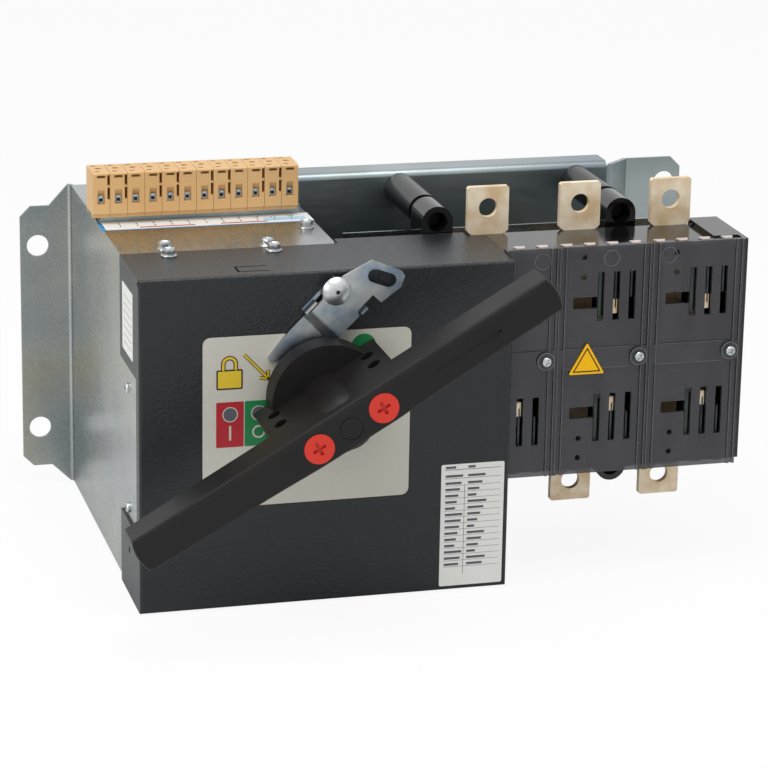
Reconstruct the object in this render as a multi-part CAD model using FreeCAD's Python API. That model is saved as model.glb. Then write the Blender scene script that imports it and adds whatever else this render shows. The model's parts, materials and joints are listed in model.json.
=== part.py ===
"""Motor-operated three-pole transfer switch on its wall chassis, one STEP file per piece.

Millimetres. X runs to the right, Y into the wall and Z up. The origin is midway between the
two fixing holes of the left flange, on the wall face, so everything lies at Y = 0 or in front.
"""
import FreeCAD
import Part
import math
import os

V = FreeCAD.Vector

# ---------------------------------------------------------------- driving dimensions
# sheet metal
SHEET = 2.0                # galvanised sheet
COVER_SHEET = 1.5          # painted front cover
BEND = 2.5                 # inside bend radius of the galvanised parts
LAP = 0.2                  # air between two lapped sheets
GAP = 0.3                  # air round a moving piece
FIT = 0.05                 # radial clearance of a running shaft

# motor housing, a box that is open towards the wall
DEPTH = 271.5              # wall to the face of the front cover
WALL_X = 24.0              # outer face of the housing's left wall
HOUSING_W = 145.0
HOUSING_TOP = 112.0
HOUSING_BOTTOM = -110.3

# fixing flanges
FIX_PITCH_LEFT = 136.0
FIX_PITCH_RIGHT = 187.4
FIX_R = 7.8
FLANGE_EDGE = 12.5         # hole centre to the free edge
FLANGE_HALF = 97.0         # half height of the left flange's outer strip
FLANGE_STEP = 8.4          # where the left flange starts to widen towards its bend
FLANGE_FULL = 2.0          # left of the wall by this much it has its full height
FLANGE_CORNER = 7.5
RIGHT_FIX_X = 472.0
RIGHT_FLANGE_X = 441.0     # bend line of the right flange
RIGHT_FLANGE_HALF = 112.5

# front cover
COVER_W = 249.0
LIP_LEFT = 66.5            # depth of the cover's left and bottom lips; the housing starts there
LIP_TOP = 78.0             # depth of the top lip over the switch
LIP_RIGHT = 10.0
COVER_BEND = 2.0
BAR_NOTCH_GAP = 0.8        # air between the top lip and the first terminal bar
BAR_NOTCH_LENGTH = 20.0
NOTCH_TOP = 45.5           # notch in the left lip, open at the back
NOTCH_BOTTOM = -61.0
NOTCH_FRONT = 10.5         # cover face to the notch's front edge
TAB_OVER = 6.0             # tab of the housing that shows through the notch, beyond its edges
KNOCKOUT_X = 99.2          # tongue left in the top lip by a U-shaped slit
KNOCKOUT_W = 21.5
KNOCKOUT_Y = 8.5
KNOCKOUT_D = 13.0
SLIT = 1.4
CORNER_HOLE_R = 1.6
CORNER_HOLE_IN = 3.2
SIDE_HOLE_R = 2.2
SIDE_HOLE_Y = 37.0         # cover face to the small hole in the left lip
SIDE_HOLE_Z = -80.0

# switch carrier behind the poles
CARRIER_FRONT = -94.5
CARRIER_TOP = 134.0
CARRIER_BOTTOM = -78.0
CARRIER_LIP = 21.0
CARRIER_RIGHT = 394.0
BRACKET_LAP = 13.0

# switch
POLES = 3
POLE_PITCH = 65.0
POLE_1_X = 273.6
BODY_END_LEFT = 2.7        # end walls beyond the outer poles
BODY_END_RIGHT = 3.6
SWITCH_SETBACK = 15.5      # cover face to the moulding's front
BODY_DEPTH = 92.3
BODY_TOP = 113.5           # front ledge
BODY_BOTTOM = -38.0
BODY_WALL = 4.0
LEDGE_DEPTH = 57.0         # moulding's front to the back of the ledge
LEDGE_STEP = 9.5           # the rear half lies lower by this much
END_BLOCK_X = 419.0        # raised block at the right end
END_BLOCK_RISE = 3.0
END_BLOCK_DEPTH = 60.5
CHAMBER_W = 56.0
LUG_R = 10.8
LUG_TOP_Z = 121.2
LUG_BOTTOM_Z = -60.5
LUG_SETBACK = 64.0         # moulding's front to the lugs' front
LUG_BORE_R = 6.9
LUG_SEAT = 9.0             # plastic left under a fixing screw's head

# smoked pole covers
POLE_COVER_PROUD = 2.6     # in front of the moulding
POLE_COVER_T = 2.5
POLE_COVER_OVER = 3.7      # above the moulding
POLE_COVER_UNDER = 2.8     # below it
RETURN_T = 1.6
POLE_COVER_RETURN = 13.0
POLE_COVER_MID = 40.2
POLE_SCREW_X = 24.7
POLE_BOSS_R = 6.2
POLE_BOSS_H = 2.4
POLE_SCREW_R = 1.6
RIB_W = 1.6
RIB_H = 1.2
RIB_PITCH = 4.2
BAND_HALF = 7.0            # raised band across the cover's middle
BAND_H = 0.8
VENT_X = -2.8              # first slot from the pole's centre
VENT_W = 4.6
VENT_LENGTH = 33.4
VENT_PITCH = 11.0
VENT_OFFSET = 42.2         # vent centres above and below the cover's middle
VENT_ARM = 19.0
VENT_ARM_H = 8.0
VENT_ARM_IN = 4.0
EYE_X = -15.2              # two round holes beside each set of slots
EYE_R = 1.9
EYE_OUT = (56.2, 69.8)

# terminal bars
BAR_W = 28.8
BAR_T = 4.5
BAR_SETBACK = 54.7         # moulding's front to the bars' front
BAR_REACH = 113.3          # switch axis to the bar's end
BAR_HOLE_OUT = 98.8        # switch axis to the bar's hole
BAR_HOLE_R = 6.5
BAR_NECK_W = 22.0
BAR_CHAMFER = 1.2

# contact rotor
ROTOR_SETBACK = 28.0       # moulding's front to the rotor's axis
ROTOR_R = 8.0
BLADE_REACH = 24.0
BLADE_T = 5.0
BLADE_W = 14.0
CONTACT_GAP = 0.6
CONTACT_LEAD = 8.0         # fixed contacts reach this far in front of the rotor's axis
CONTACT_CHAMFER = 1.0

# spacers and long fixing screws
SPACER_R = 11.0
SPACER_NECK_R = 9.4
SPACER_NECK = 3.0
SCREW_R = 4.0
SCREW_HEAD_R = 6.4
SCREW_HEAD = 5.3
BACKPLATE_X0 = 183.0
BACKPLATE_X1 = 411.0
BACKPLATE_TOP = 109.0
BACKPLATE_BOTTOM = -48.0

# terminal blocks on their rail
BLOCKS = 12
BLOCK_PITCH = 11.86
BLOCK_X0 = 19.5
BLOCK_GAP = 0.25
BLOCK_FRONT = -122.0
BLOCK_DEPTH = 25.5
BLOCK_RISE = 7.8           # housing top to the foot
BLOCK_H = 28.6
RAIL_W = 15.0
RAIL_H = 6.9
RAIL_T = 1.0
RAIL_X0 = 26.0
RAIL_X1 = 164.0
WIRE_W = 5.6
WIRE_H = 6.4
WIRE_UP = 6.0              # foot to the wire funnel
RECESS_W = 1.7             # side recesses where two blocks of one group meet
RECESS_DEPTH = 7.0
RECESSES = ((9.9, 18.2), (19.5, 26.8))
GROUP = 3

# handle and its shaft
PIVOT_X = 142.0
PIVOT_Z = 33.2
HANDLE_ANGLE = 30.4        # bar above the horizontal
GRIP_HALF = 155.6
GRIP_UP = 14.9             # pivot to the grip's upper edge
GRIP_DOWN = 9.0            # pivot to the grip's lower edge, at its ends
GRIP_WAIST = 10.9          # the same part way along
GRIP_BELLY = 12.2          # the same at the middle
GRIP_FRONT = 80.0          # cover face to the grip's face
GRIP_DEPTH = 25.0
GRIP_WALL = 3.0
GRIP_ROUND = 2.0
END_BULGE = 2.7
WAIST_OUT = 16.0           # hub block's end to the waist
BELLY_IN = 18.0            # hub block's end to the full belly
HUB_HALF = 45.5
HUB_HOLE_X = 35.0
HUB_HOLE_R = 4.4
HUB_HOLE_DEPTH = 8.0
HUB_HOLE_OUT = (28.0, 46.0)
BOSS_R = 18.5
BOSS_FRONT = 76.0
DISC_R = 38.5
DISC_TAPER = 1.1
DISC_FRONT = 22.0
DISC_AIR = 0.6             # between the disc and the slide below it
CAP_X = 23.9
CAP_R = 9.8
CAP_T = 2.2
CAP_PROUD = 0.3
CAP_BORE_R = 4.2
CAP_BORE = 30.0
CROSS_HALF = 4.5
CROSS_LINE = 1.1
CROSS_DEEP = 1.7
RING_R = 7.6               # fine ring in the grip's face over the shaft
RING_LINE = 0.7
RING_DEEP = 0.5
SHAFT_REACH = 60.0         # in front of the cover
SHAFT_TAIL = 3.0           # behind the drive plate's front
SHAFT_R = 6.0

# lock slide: runs along a 45 degree line that passes above the pivot
SLIDE_ANGLE = 45.0
SLIDE_T = 2.0
SLIDE_LOW = 0.7            # cover face to the slide under the disc
SLIDE_RISE = 4.3           # height of the step
SLIDE_STEP = 28.0          # where the step starts, along the slide
SLIDE_STEP_RUN = 5.5
SLIDE_TRAVEL = 5.0
SLIDE_BEND = 2.0
SLIDE_EDGE_IN = 20.0
SLIDE_EDGE_OUT = 46.8
# the rest of its plan, along and across the travel, from the pivot
SLIDE_TAIL = ((-8.9, 39.9), (-7.4, 43.3), (14.8, 45.8), (44.0, 45.8))
SLIDE_HEAD = ((63.9, 46.8), (84.2, 40.1), (92.3, 19.9), (91.6, 16.5), (84.6, 13.2), (68.5, 15.6),
              (68.4, 23.3), (53.0, 23.3))
STUD_S = 54.1
STUD_T = 43.0
STUD_R = 2.2
STUD_HEAD_R = 9.5
STUD_HEAD_H = 4.6
STUD_DIMPLE_R = 2.0
STUD_DIMPLE = 1.6
LOCK_HOLE_L = 19.5
LOCK_HOLE_W = 9.3
LOCK_HOLE_S = 80.3
LOCK_HOLE_T = 26.9
LOCK_HOLE_TILT = -65.0

# guide bracket of the slide
GUIDE_T = 1.6
GUIDE_FROM = 30.0
GUIDE_BASE = 46.0
GUIDE_TO = 60.0
GUIDE_WIDE = 3.0           # base beyond the slide's outer edge
GUIDE_GAP = 0.6
EAR_H = 9.0
EAR_T = 1.8
EAR_OUT = 10.0
EAR_IN = (54.5, 60.0)

# gear train
MODULE = 2.0
DRIVE_TEETH = 40
PINION_TEETH = 12
GEAR_W = 8.0
GEAR_SETBACK = 7.5         # cover face to the spur gears
MOTOR_DIRECTION = 225.0    # from the handle shaft to the motor shaft
BEVEL_TEETH = 16
BEVEL_FACE = 7.0
BEVEL_NECK_R = 5.0
BACKLASH = 0.5
MOTOR_R = 26.0
MOTOR_LENGTH = 110.0
MOTOR_NECK_R = 10.0
SPINDLE_R = 4.0
GEARBOX_R = 22.0
PLATE_T = 3.0
BUSH_WALL = 3.0
BUSH_LIP = 2.0
BUSH_TAIL = 6.0

# ---------------------------------------------------------------- worked-out places
COVER_Y = -DEPTH
HOUSING_FRONT = COVER_Y + LIP_LEFT
COVER_X0 = WALL_X - LAP - COVER_SHEET
COVER_X1 = COVER_X0 + COVER_W
COVER_TOP = HOUSING_TOP + LAP + COVER_SHEET
COVER_BOTTOM = HOUSING_BOTTOM - LAP - COVER_SHEET
HOUSING_X1 = WALL_X + HOUSING_W
BODY_X0 = POLE_1_X - POLE_PITCH / 2 - BODY_END_LEFT
BODY_X1 = POLE_1_X + (POLES - 0.5) * POLE_PITCH + BODY_END_RIGHT
BODY_FRONT = COVER_Y + SWITCH_SETBACK
BODY_BACK = BODY_FRONT + BODY_DEPTH
LEDGE_BACK = BODY_FRONT + LEDGE_DEPTH
BODY_REAR_TOP = BODY_TOP - LEDGE_STEP
END_BLOCK_TOP = BODY_TOP + END_BLOCK_RISE
END_BLOCK_BACK = BODY_FRONT + END_BLOCK_DEPTH
LUG_FRONT = BODY_FRONT + LUG_SETBACK
POLE_COVER_FRONT = BODY_FRONT - POLE_COVER_PROUD
POLE_COVER_TOP = BODY_TOP + POLE_COVER_OVER
POLE_COVER_BOTTOM = BODY_BOTTOM - POLE_COVER_UNDER
BAR_FRONT = BODY_FRONT + BAR_SETBACK
ROTOR_Y = BODY_FRONT + ROTOR_SETBACK
CHAMBER_BACK = BAR_FRONT + BAR_T + FIT
BLOCK_FOOT = HOUSING_TOP + BLOCK_RISE
BLOCK_TOP = BLOCK_FOOT + BLOCK_H
WIRE_Z = BLOCK_FOOT + WIRE_UP
GEAR_FRONT = COVER_Y + GEAR_SETBACK
MOTOR_BACK = HOUSING_FRONT + MOTOR_LENGTH
PLATE_FRONT = HOUSING_FRONT - PLATE_T
POLE_X = [POLE_1_X + i * POLE_PITCH for i in range(POLES)]
LUG_X = [POLE_1_X - POLE_PITCH / 2, POLE_1_X + 1.5 * POLE_PITCH]
LUGS = [(x, z) for z in (LUG_TOP_Z, LUG_BOTTOM_Z) for x in LUG_X]
CARRIER_BACK = CARRIER_FRONT + SHEET
BACKPLATE_FRONT = BODY_BACK + LAP
GEAR_CENTRES = MODULE * (DRIVE_TEETH + PINION_TEETH) / 2
MOTOR_X = PIVOT_X + GEAR_CENTRES * math.cos(math.radians(MOTOR_DIRECTION))
MOTOR_Z = PIVOT_Z + GEAR_CENTRES * math.sin(math.radians(MOTOR_DIRECTION))
BEVEL_R = MODULE * BEVEL_TEETH / 2
DISC_BACK = SLIDE_LOW + SLIDE_T + SLIDE_RISE + DISC_AIR


# ---------------------------------------------------------------- shape helpers
def box(x0, x1, y0, y1, z0, z1):
    return Part.makeBox(x1 - x0, y1 - y0, z1 - z0, V(x0, y0, z0))


def rod_y(x, z, r, y0, y1):
    return Part.makeCylinder(r, y1 - y0, V(x, y0, z), V(0, 1, 0))


def rod_x(y, z, r, x0, x1):
    return Part.makeCylinder(r, x1 - x0, V(x0, y, z), V(1, 0, 0))


def rod_z(x, y, r, z0, z1):
    return Part.makeCylinder(r, z1 - z0, V(x, y, z0), V(0, 0, 1))


def polygon_face(points):
    return Part.Face(Part.makePolygon(points + points[:1]))


def prism_y(points, y0, y1):
    """Extrude an outline given as (x, z) pairs from y0 to y1."""
    face = polygon_face([V(x, y0, z) for x, z in points])
    return face.extrude(V(0, y1 - y0, 0))


def prism_x(points, x0, x1):
    """Extrude an outline given as (y, z) pairs from x0 to x1."""
    face = polygon_face([V(x0, y, z) for y, z in points])
    return face.extrude(V(x1 - x0, 0, 0))


def prism_z(points, z0, z1):
    """Extrude an outline given as (x, y) pairs from z0 to z1."""
    face = polygon_face([V(x, y, z0) for x, y in points])
    return face.extrude(V(0, 0, z1 - z0))


def join(shapes):
    solid = shapes[0].multiFuse(shapes[1:]) if len(shapes) > 1 else shapes[0]
    return solid.removeSplitter()


def cut_all(shape, tools):
    return shape.cut(Part.makeCompound(tools)) if tools else shape


def bent_strip(points, thickness, radius):
    """Face of a sheet folded along points, which are the middle of its thickness."""
    half = thickness / 2
    sides = {1: [], -1: []}
    start = (points[1] - points[0]).normalize()
    for side in sides:
        sides[side].append((None, points[0] + V(-start.y, start.x, 0) * half * side))
    for before, corner, after in zip(points, points[1:], points[2:]):
        a = (corner - before).normalize()
        b = (after - corner).normalize()
        turn = math.atan2(a.x * b.y - a.y * b.x, a.dot(b))
        inward = 1 if turn > 0 else -1
        middle = radius + half
        back = middle * math.tan(abs(turn) / 2)
        enter, leave = corner - a * back, corner + b * back
        centre = enter + V(-a.y, a.x, 0) * middle * inward
        for side in sides:
            n_in, n_out = V(-a.y, a.x, 0) * half * side, V(-b.y, b.x, 0) * half * side
            r = middle - half * side * inward
            mid = centre + (corner - centre).normalize() * r
            sides[side].append((None, enter + n_in))
            sides[side].append((mid, leave + n_out))
    end = (points[-1] - points[-2]).normalize()
    for side in sides:
        sides[side].append((None, points[-1] + V(-end.y, end.x, 0) * half * side))
    edges = []
    for side in (1, -1):
        run = sides[side]
        for (_, p), (mid, q) in zip(run, run[1:]):
            edges.append(Part.Arc(p, mid, q).toShape() if mid else Part.LineSegment(p, q).toShape())
    edges.append(Part.LineSegment(sides[1][0][1], sides[-1][0][1]).toShape())
    edges.append(Part.LineSegment(sides[1][-1][1], sides[-1][-1][1]).toShape())
    return Part.Face(Part.Wire(Part.__sortEdges__(edges)))


def slot_prism(x, z, length, width, tilt, y0, y1):
    """A round-ended slot along Y, its long axis tilted from X towards Z."""
    half = (length - width) / 2
    r = width / 2
    top = Part.LineSegment(V(-half, y0, r), V(half, y0, r)).toShape()
    right = Part.Arc(V(half, y0, r), V(half + r, y0, 0), V(half, y0, -r)).toShape()
    low = Part.LineSegment(V(half, y0, -r), V(-half, y0, -r)).toShape()
    left = Part.Arc(V(-half, y0, -r), V(-half - r, y0, 0), V(-half, y0, r)).toShape()
    solid = Part.Face(Part.Wire([top, right, low, left])).extrude(V(0, y1 - y0, 0))
    solid.rotate(V(0, 0, 0), V(0, 1, 0), -tilt)
    solid.translate(V(x, 0, z))
    return solid


def on_pivot(shape, angle):
    """Turn a shape that was built round the pivot and set it on the cover's face."""
    shape = shape.copy()
    shape.rotate(V(0, 0, 0), V(0, 1, 0), -angle)
    shape.translate(V(PIVOT_X, COVER_Y, PIVOT_Z))
    return shape


# ---------------------------------------------------------------- chassis
def left_flange_outline():
    """Flange outline in (x, z), stepped wider towards the bend, the same above and below."""
    edge, half, corner = -FLANGE_EDGE, FLANGE_HALF, FLANGE_CORNER
    reach = WALL_X + SHEET
    top = [(edge, half - corner), (edge + corner, half), (FLANGE_STEP, half)]
    over = top + [(WALL_X - FLANGE_FULL, HOUSING_TOP), (reach, HOUSING_TOP)]
    under = [(x, HOUSING_BOTTOM if z == HOUSING_TOP else -z) for x, z in reversed(over)]
    return over + under


def motor_housing():
    """Left wall with its flange and front tab, top, bottom and right wall, folded from one sheet."""
    middle = SHEET / 2
    fold = [V(-FLANGE_EDGE, -middle, 0), V(WALL_X + middle, -middle, 0),
            V(WALL_X + middle, HOUSING_FRONT, 0)]
    wall = bent_strip(fold, SHEET, BEND).extrude(V(0, 0, HOUSING_TOP - HOUSING_BOTTOM))
    wall.translate(V(0, 0, HOUSING_BOTTOM))
    keep = prism_y(left_flange_outline(), -DEPTH, 1).fuse(
        box(WALL_X, HOUSING_X1, -DEPTH, 1, HOUSING_BOTTOM, HOUSING_TOP))
    wall = wall.common(keep)
    back = -SHEET - BEND
    tops = [box(WALL_X, HOUSING_X1, HOUSING_FRONT, back, z, z + SHEET)
            for z in (HOUSING_BOTTOM, HOUSING_TOP - SHEET)]
    right = box(HOUSING_X1 - SHEET, HOUSING_X1, HOUSING_FRONT, back, HOUSING_BOTTOM, HOUSING_TOP)
    tab = box(WALL_X, WALL_X + SHEET, COVER_Y + NOTCH_FRONT - TAB_OVER, HOUSING_FRONT + 1,
              NOTCH_BOTTOM - TAB_OVER, NOTCH_TOP + TAB_OVER)
    shell = join([wall, right, tab] + tops)
    holes = [rod_y(0, z * FIX_PITCH_LEFT / 2, FIX_R, -SHEET - 1, 1) for z in (-1, 1)]
    return cut_all(shell, holes)


def front_cover():
    """Painted cover: face and four lips, with the side notch and the open lower corner."""
    face_back = COVER_Y + COVER_SHEET
    outer = box(COVER_X0, COVER_X1, COVER_Y, COVER_Y + LIP_TOP, COVER_BOTTOM, COVER_TOP)
    rim = [e for e in outer.Edges if all(abs(v.Y - COVER_Y) < 1e-6 for v in e.Vertexes)]
    outer = outer.makeFillet(COVER_BEND, rim)
    inner = box(COVER_X0 + COVER_SHEET, COVER_X1 - COVER_SHEET, face_back, 0,
                COVER_BOTTOM + COVER_SHEET, COVER_TOP - COVER_SHEET)
    shell = outer.cut(inner)
    lip_left = COVER_Y + LIP_LEFT
    far = COVER_Y + LIP_TOP + 1
    trims = [
        box(COVER_X0 - 1, HOUSING_X1 + LAP, lip_left, far, HOUSING_TOP - 5, COVER_TOP + 1),
        box(COVER_X0 - 1, COVER_X0 + COVER_SHEET + 1, lip_left, far, COVER_BOTTOM - 1, COVER_TOP + 1),
        box(COVER_X0 - 1, COVER_X1 + 1, lip_left, far, COVER_BOTTOM - 1, COVER_BOTTOM + 5),
        box(COVER_X1 - COVER_SHEET - 1, COVER_X1 + 1, COVER_Y + LIP_RIGHT, far,
            COVER_BOTTOM - 1, COVER_TOP - COVER_SHEET),
    ]
    side = (COVER_X0 - 1, COVER_X0 + COVER_SHEET + 1)
    trims.append(box(*side, COVER_Y + NOTCH_FRONT, lip_left + 1, NOTCH_BOTTOM, NOTCH_TOP))
    notch = BAR_W / 2 + BAR_NOTCH_GAP
    notch_y = BAR_FRONT - 1.5 * BAR_NOTCH_GAP
    trims.append(box(POLE_1_X - notch, POLE_1_X + notch, notch_y, notch_y + BAR_NOTCH_LENGTH,
                     HOUSING_TOP - 5, COVER_TOP + 1))
    lid = (COVER_TOP - COVER_SHEET - 1, COVER_TOP + 1)
    x0, x1 = KNOCKOUT_X - KNOCKOUT_W / 2, KNOCKOUT_X + KNOCKOUT_W / 2
    y0, y1 = COVER_Y + KNOCKOUT_Y, COVER_Y + KNOCKOUT_Y + KNOCKOUT_D
    trims += [box(x0, x1, y0, y0 + SLIT, *lid), box(x0, x1, y1 - SLIT, y1, *lid),
              box(x0, x0 + SLIT, y0, y1, *lid)]
    wall = (COVER_X0 - 1, COVER_X0 + COVER_SHEET + 1)
    trims.append(rod_x(COVER_Y + CORNER_HOLE_IN, COVER_TOP - CORNER_HOLE_IN, CORNER_HOLE_R, *wall))
    trims.append(rod_x(COVER_Y + SIDE_HOLE_Y, SIDE_HOLE_Z, SIDE_HOLE_R, *wall))
    trims.append(rod_y(PIVOT_X, PIVOT_Z, SHAFT_R + 2, COVER_Y - 1, face_back + 1))
    return cut_all(shell, trims)


def switch_carrier():
    """Upright plate behind the poles with folded lips; a tongue runs over the housing."""
    web_y = CARRIER_FRONT + SHEET / 2
    lip_end = CARRIER_FRONT + CARRIER_LIP
    top, low = CARRIER_TOP - SHEET / 2, CARRIER_BOTTOM + SHEET / 2
    path = [V(lip_end, top, 0), V(web_y, top, 0), V(web_y, low, 0), V(lip_end, low, 0)]
    face = bent_strip(path, SHEET, BEND)
    # the fold is drawn in (y, z); stand it up so that it runs along X
    face.transformShape(FreeCAD.Matrix(0, 0, 1, 0, 1, 0, 0, 0, 0, 1, 0, 0, 0, 0, 0, 1))
    length = CARRIER_RIGHT - WALL_X
    channel = face.extrude(V(length, 0, 0))
    channel.translate(V(WALL_X, 0, 0))
    room = box(WALL_X - 1, HOUSING_X1 + LAP, -DEPTH, 1, CARRIER_BOTTOM - 1, HOUSING_TOP)
    holes = [rod_y(x, z, SCREW_R + LAP, CARRIER_FRONT - 1, CARRIER_BACK + 1) for x, z in LUGS]
    return cut_all(channel, [room] + holes)


def right_bracket():
    """Lapped to the carrier's end, slanting back to the wall, then the right flange."""
    lap_y = CARRIER_BACK + LAP + SHEET / 2
    wall_y = -SHEET / 2
    edge = RIGHT_FIX_X + FLANGE_EDGE
    path = [V(CARRIER_RIGHT - BRACKET_LAP, lap_y, 0), V(CARRIER_RIGHT + 3, lap_y, 0),
            V(RIGHT_FLANGE_X, wall_y, 0), V(edge, wall_y, 0)]
    height = CARRIER_TOP + RIGHT_FLANGE_HALF
    strip = bent_strip(path, SHEET, BEND).extrude(V(0, 0, height))
    strip.translate(V(0, 0, -RIGHT_FLANGE_HALF))
    half, corner = RIGHT_FLANGE_HALF, FLANGE_CORNER
    neck = CARRIER_RIGHT - BRACKET_LAP - 1
    lip = SHEET + BEND + LAP
    outline = [(neck, CARRIER_TOP - lip), (CARRIER_RIGHT + 1, CARRIER_TOP - lip),
               (CARRIER_RIGHT + 3, CARRIER_TOP - 3), (RIGHT_FLANGE_X, half), (edge - corner, half),
               (edge, half - corner), (edge, corner - half), (edge - corner, -half),
               (RIGHT_FLANGE_X, -half), (CARRIER_RIGHT + 3, CARRIER_BOTTOM + lip),
               (neck, CARRIER_BOTTOM + lip)]
    strip = strip.common(prism_y(outline, -DEPTH, 1))
    holes = [rod_y(RIGHT_FIX_X, z * FIX_PITCH_RIGHT / 2, FIX_R, -SHEET - 1, 1) for z in (-1, 1)]
    return cut_all(strip, holes)


# ---------------------------------------------------------------- terminal blocks
def terminal_rail():
    """Narrow hat rail that the terminal blocks clip on."""
    z0 = HOUSING_TOP
    mid_y = BLOCK_FRONT + BLOCK_DEPTH / 2
    half, flange, t = RAIL_W / 2, 2.6, RAIL_T
    right = [(half, RAIL_H), (half, RAIL_H - t), (half - flange, RAIL_H - t), (half - flange, 0)]
    inner = [(half - flange - t, t), (half - flange - t, RAIL_H)]
    profile = right + [(-y, z) for y, z in reversed(right)]
    profile += [(-y, z) for y, z in reversed(inner[1:])] + [(-y, z) for y, z in inner[:1]] + inner
    return prism_x([(mid_y + y, z0 + z) for y, z in profile], RAIL_X0, RAIL_X1)


def terminal_block(x0, last):
    """One screw terminal: body with a rail foot, wire funnel, label recess and screw shaft."""
    x1 = x0 + BLOCK_PITCH - BLOCK_GAP
    back = BLOCK_FRONT + BLOCK_DEPTH
    mid_y = (BLOCK_FRONT + back) / 2
    claw = RAIL_W / 2 + 0.2
    rail_top = HOUSING_TOP + RAIL_H + 0.1
    rail_under = HOUSING_TOP + RAIL_H - RAIL_T - 0.1
    profile = [(BLOCK_FRONT, BLOCK_FOOT), (mid_y - claw - 2, BLOCK_FOOT - 1.2),
               (mid_y - claw - 2, rail_under - 1.4), (mid_y - claw + 1.4, rail_under),
               (mid_y - claw, rail_under), (mid_y - claw, rail_top), (mid_y + claw, rail_top),
               (mid_y + claw, rail_under), (mid_y + claw - 1.4, rail_under),
               (mid_y + claw + 2, rail_under - 1.4), (mid_y + claw + 2, BLOCK_FOOT - 1.2),
               (back, BLOCK_FOOT), (back, BLOCK_TOP - 1.5), (back - 1.5, BLOCK_TOP),
               (BLOCK_FRONT + 1.0, BLOCK_TOP), (BLOCK_FRONT, BLOCK_TOP - 1.0)]
    body = prism_x(profile, x0, x1)
    mid_x = (x0 + x1) / 2
    half_w, deep = WIRE_W / 2, BLOCK_FRONT + 3.4
    mouth = [V(mid_x - half_w, BLOCK_FRONT - 0.01, WIRE_Z), V(mid_x + half_w, BLOCK_FRONT - 0.01, WIRE_Z),
             V(mid_x + half_w - 0.4, BLOCK_FRONT - 0.01, WIRE_Z + WIRE_H + 4.4),
             V(mid_x - half_w + 0.4, BLOCK_FRONT - 0.01, WIRE_Z + WIRE_H + 4.4)]
    throat = [V(mid_x - half_w + 0.6, deep, WIRE_Z + 0.8), V(mid_x + half_w - 0.6, deep, WIRE_Z + 0.8),
              V(mid_x + half_w - 0.6, deep, WIRE_Z + WIRE_H), V(mid_x - half_w + 0.6, deep, WIRE_Z + WIRE_H)]
    funnel = Part.makeLoft([Part.makePolygon(w + w[:1]) for w in (mouth, throat)], True, True)
    shaft = rod_z(mid_x, mid_y, 2.2, BLOCK_TOP - 6, BLOCK_TOP + 1)
    label = box(mid_x - 3.2, mid_x + 3.2, BLOCK_FRONT - 0.5, BLOCK_FRONT + 0.6,
                BLOCK_TOP - 3.8, BLOCK_TOP - 2.0)
    tools = [funnel, shaft, label]
    if not last:
        tools += [box(x1 - RECESS_W, x1 + 1, BLOCK_FRONT - 1, BLOCK_FRONT + RECESS_DEPTH,
                      BLOCK_FOOT + z0, BLOCK_FOOT + z1)
                  for z0, z1 in RECESSES]
    return cut_all(body, tools)


# ---------------------------------------------------------------- switch
def lug_shape(x, z):
    """Round-headed lug that grows out of the moulding's rear half."""
    inward = BODY_REAR_TOP - 1 if z > PIVOT_Z else BODY_BOTTOM + 1
    low, high = sorted((z, inward))
    web = box(x - LUG_R, x + LUG_R, LUG_FRONT, BODY_BACK, low, high)
    return web.fuse(rod_y(x, z, LUG_R, LUG_FRONT, BODY_BACK))


def front_cover_room():
    """Space that the front cover's top lip takes over the first pole."""
    return box(0, COVER_X1 + LAP * 2, -DEPTH - 1, COVER_Y + LIP_TOP + LAP,
               COVER_TOP - COVER_SHEET - LAP, COVER_TOP + 20)


def switch_body():
    """Black moulding: front ledge, lower rear half, raised right end and four lugs."""
    front = box(BODY_X0, BODY_X1, BODY_FRONT, LEDGE_BACK, BODY_BOTTOM, BODY_TOP)
    rear = box(LUG_X[0] - LUG_R, BODY_X1 - BODY_END_RIGHT, LEDGE_BACK - 1, BODY_BACK, BODY_BOTTOM,
               BODY_REAR_TOP)
    behind = POLE_COVER_FRONT + POLE_COVER_RETURN + LAP
    end = box(END_BLOCK_X, BODY_X1, behind, END_BLOCK_BACK, BODY_BOTTOM, END_BLOCK_TOP)
    corner = box(BODY_X1 - BODY_END_RIGHT + LAP, BODY_X1, BODY_FRONT, behind, BODY_BOTTOM, END_BLOCK_TOP)
    mould = join([front, rear, end, corner] + [lug_shape(x, z) for x, z in LUGS])
    half, neck = CHAMBER_W / 2, BAR_NECK_W / 2 + FIT
    floor, roof = BODY_BOTTOM + BODY_WALL, BODY_REAR_TOP - BODY_WALL
    tools = [front_cover_room()]
    for x in POLE_X:
        tools.append(box(x - half, x + half, BODY_FRONT - 1, CHAMBER_BACK, floor, roof))
        tools.append(box(x - half, x + half, BODY_FRONT - 1, LEDGE_BACK - BODY_WALL, floor,
                         BODY_TOP - BODY_WALL * 1.5))
        tools.append(box(x - neck, x + neck, BAR_FRONT - FIT, CHAMBER_BACK, BODY_BOTTOM - 1,
                         BODY_TOP + 1))
    for x, z in LUGS:
        tools.append(rod_y(x, z, SCREW_R + LAP, LUG_FRONT - 1, BODY_BACK + 1))
        tools.append(rod_y(x, z, LUG_BORE_R, LUG_FRONT - 1, BODY_BACK - LUG_SEAT))
    tools.append(rod_x(ROTOR_Y, PIVOT_Z, ROTOR_R + FIT, LUG_X[0] - LUG_R - 1, BODY_X1 - BODY_END_RIGHT))
    return cut_all(mould, tools)


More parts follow.
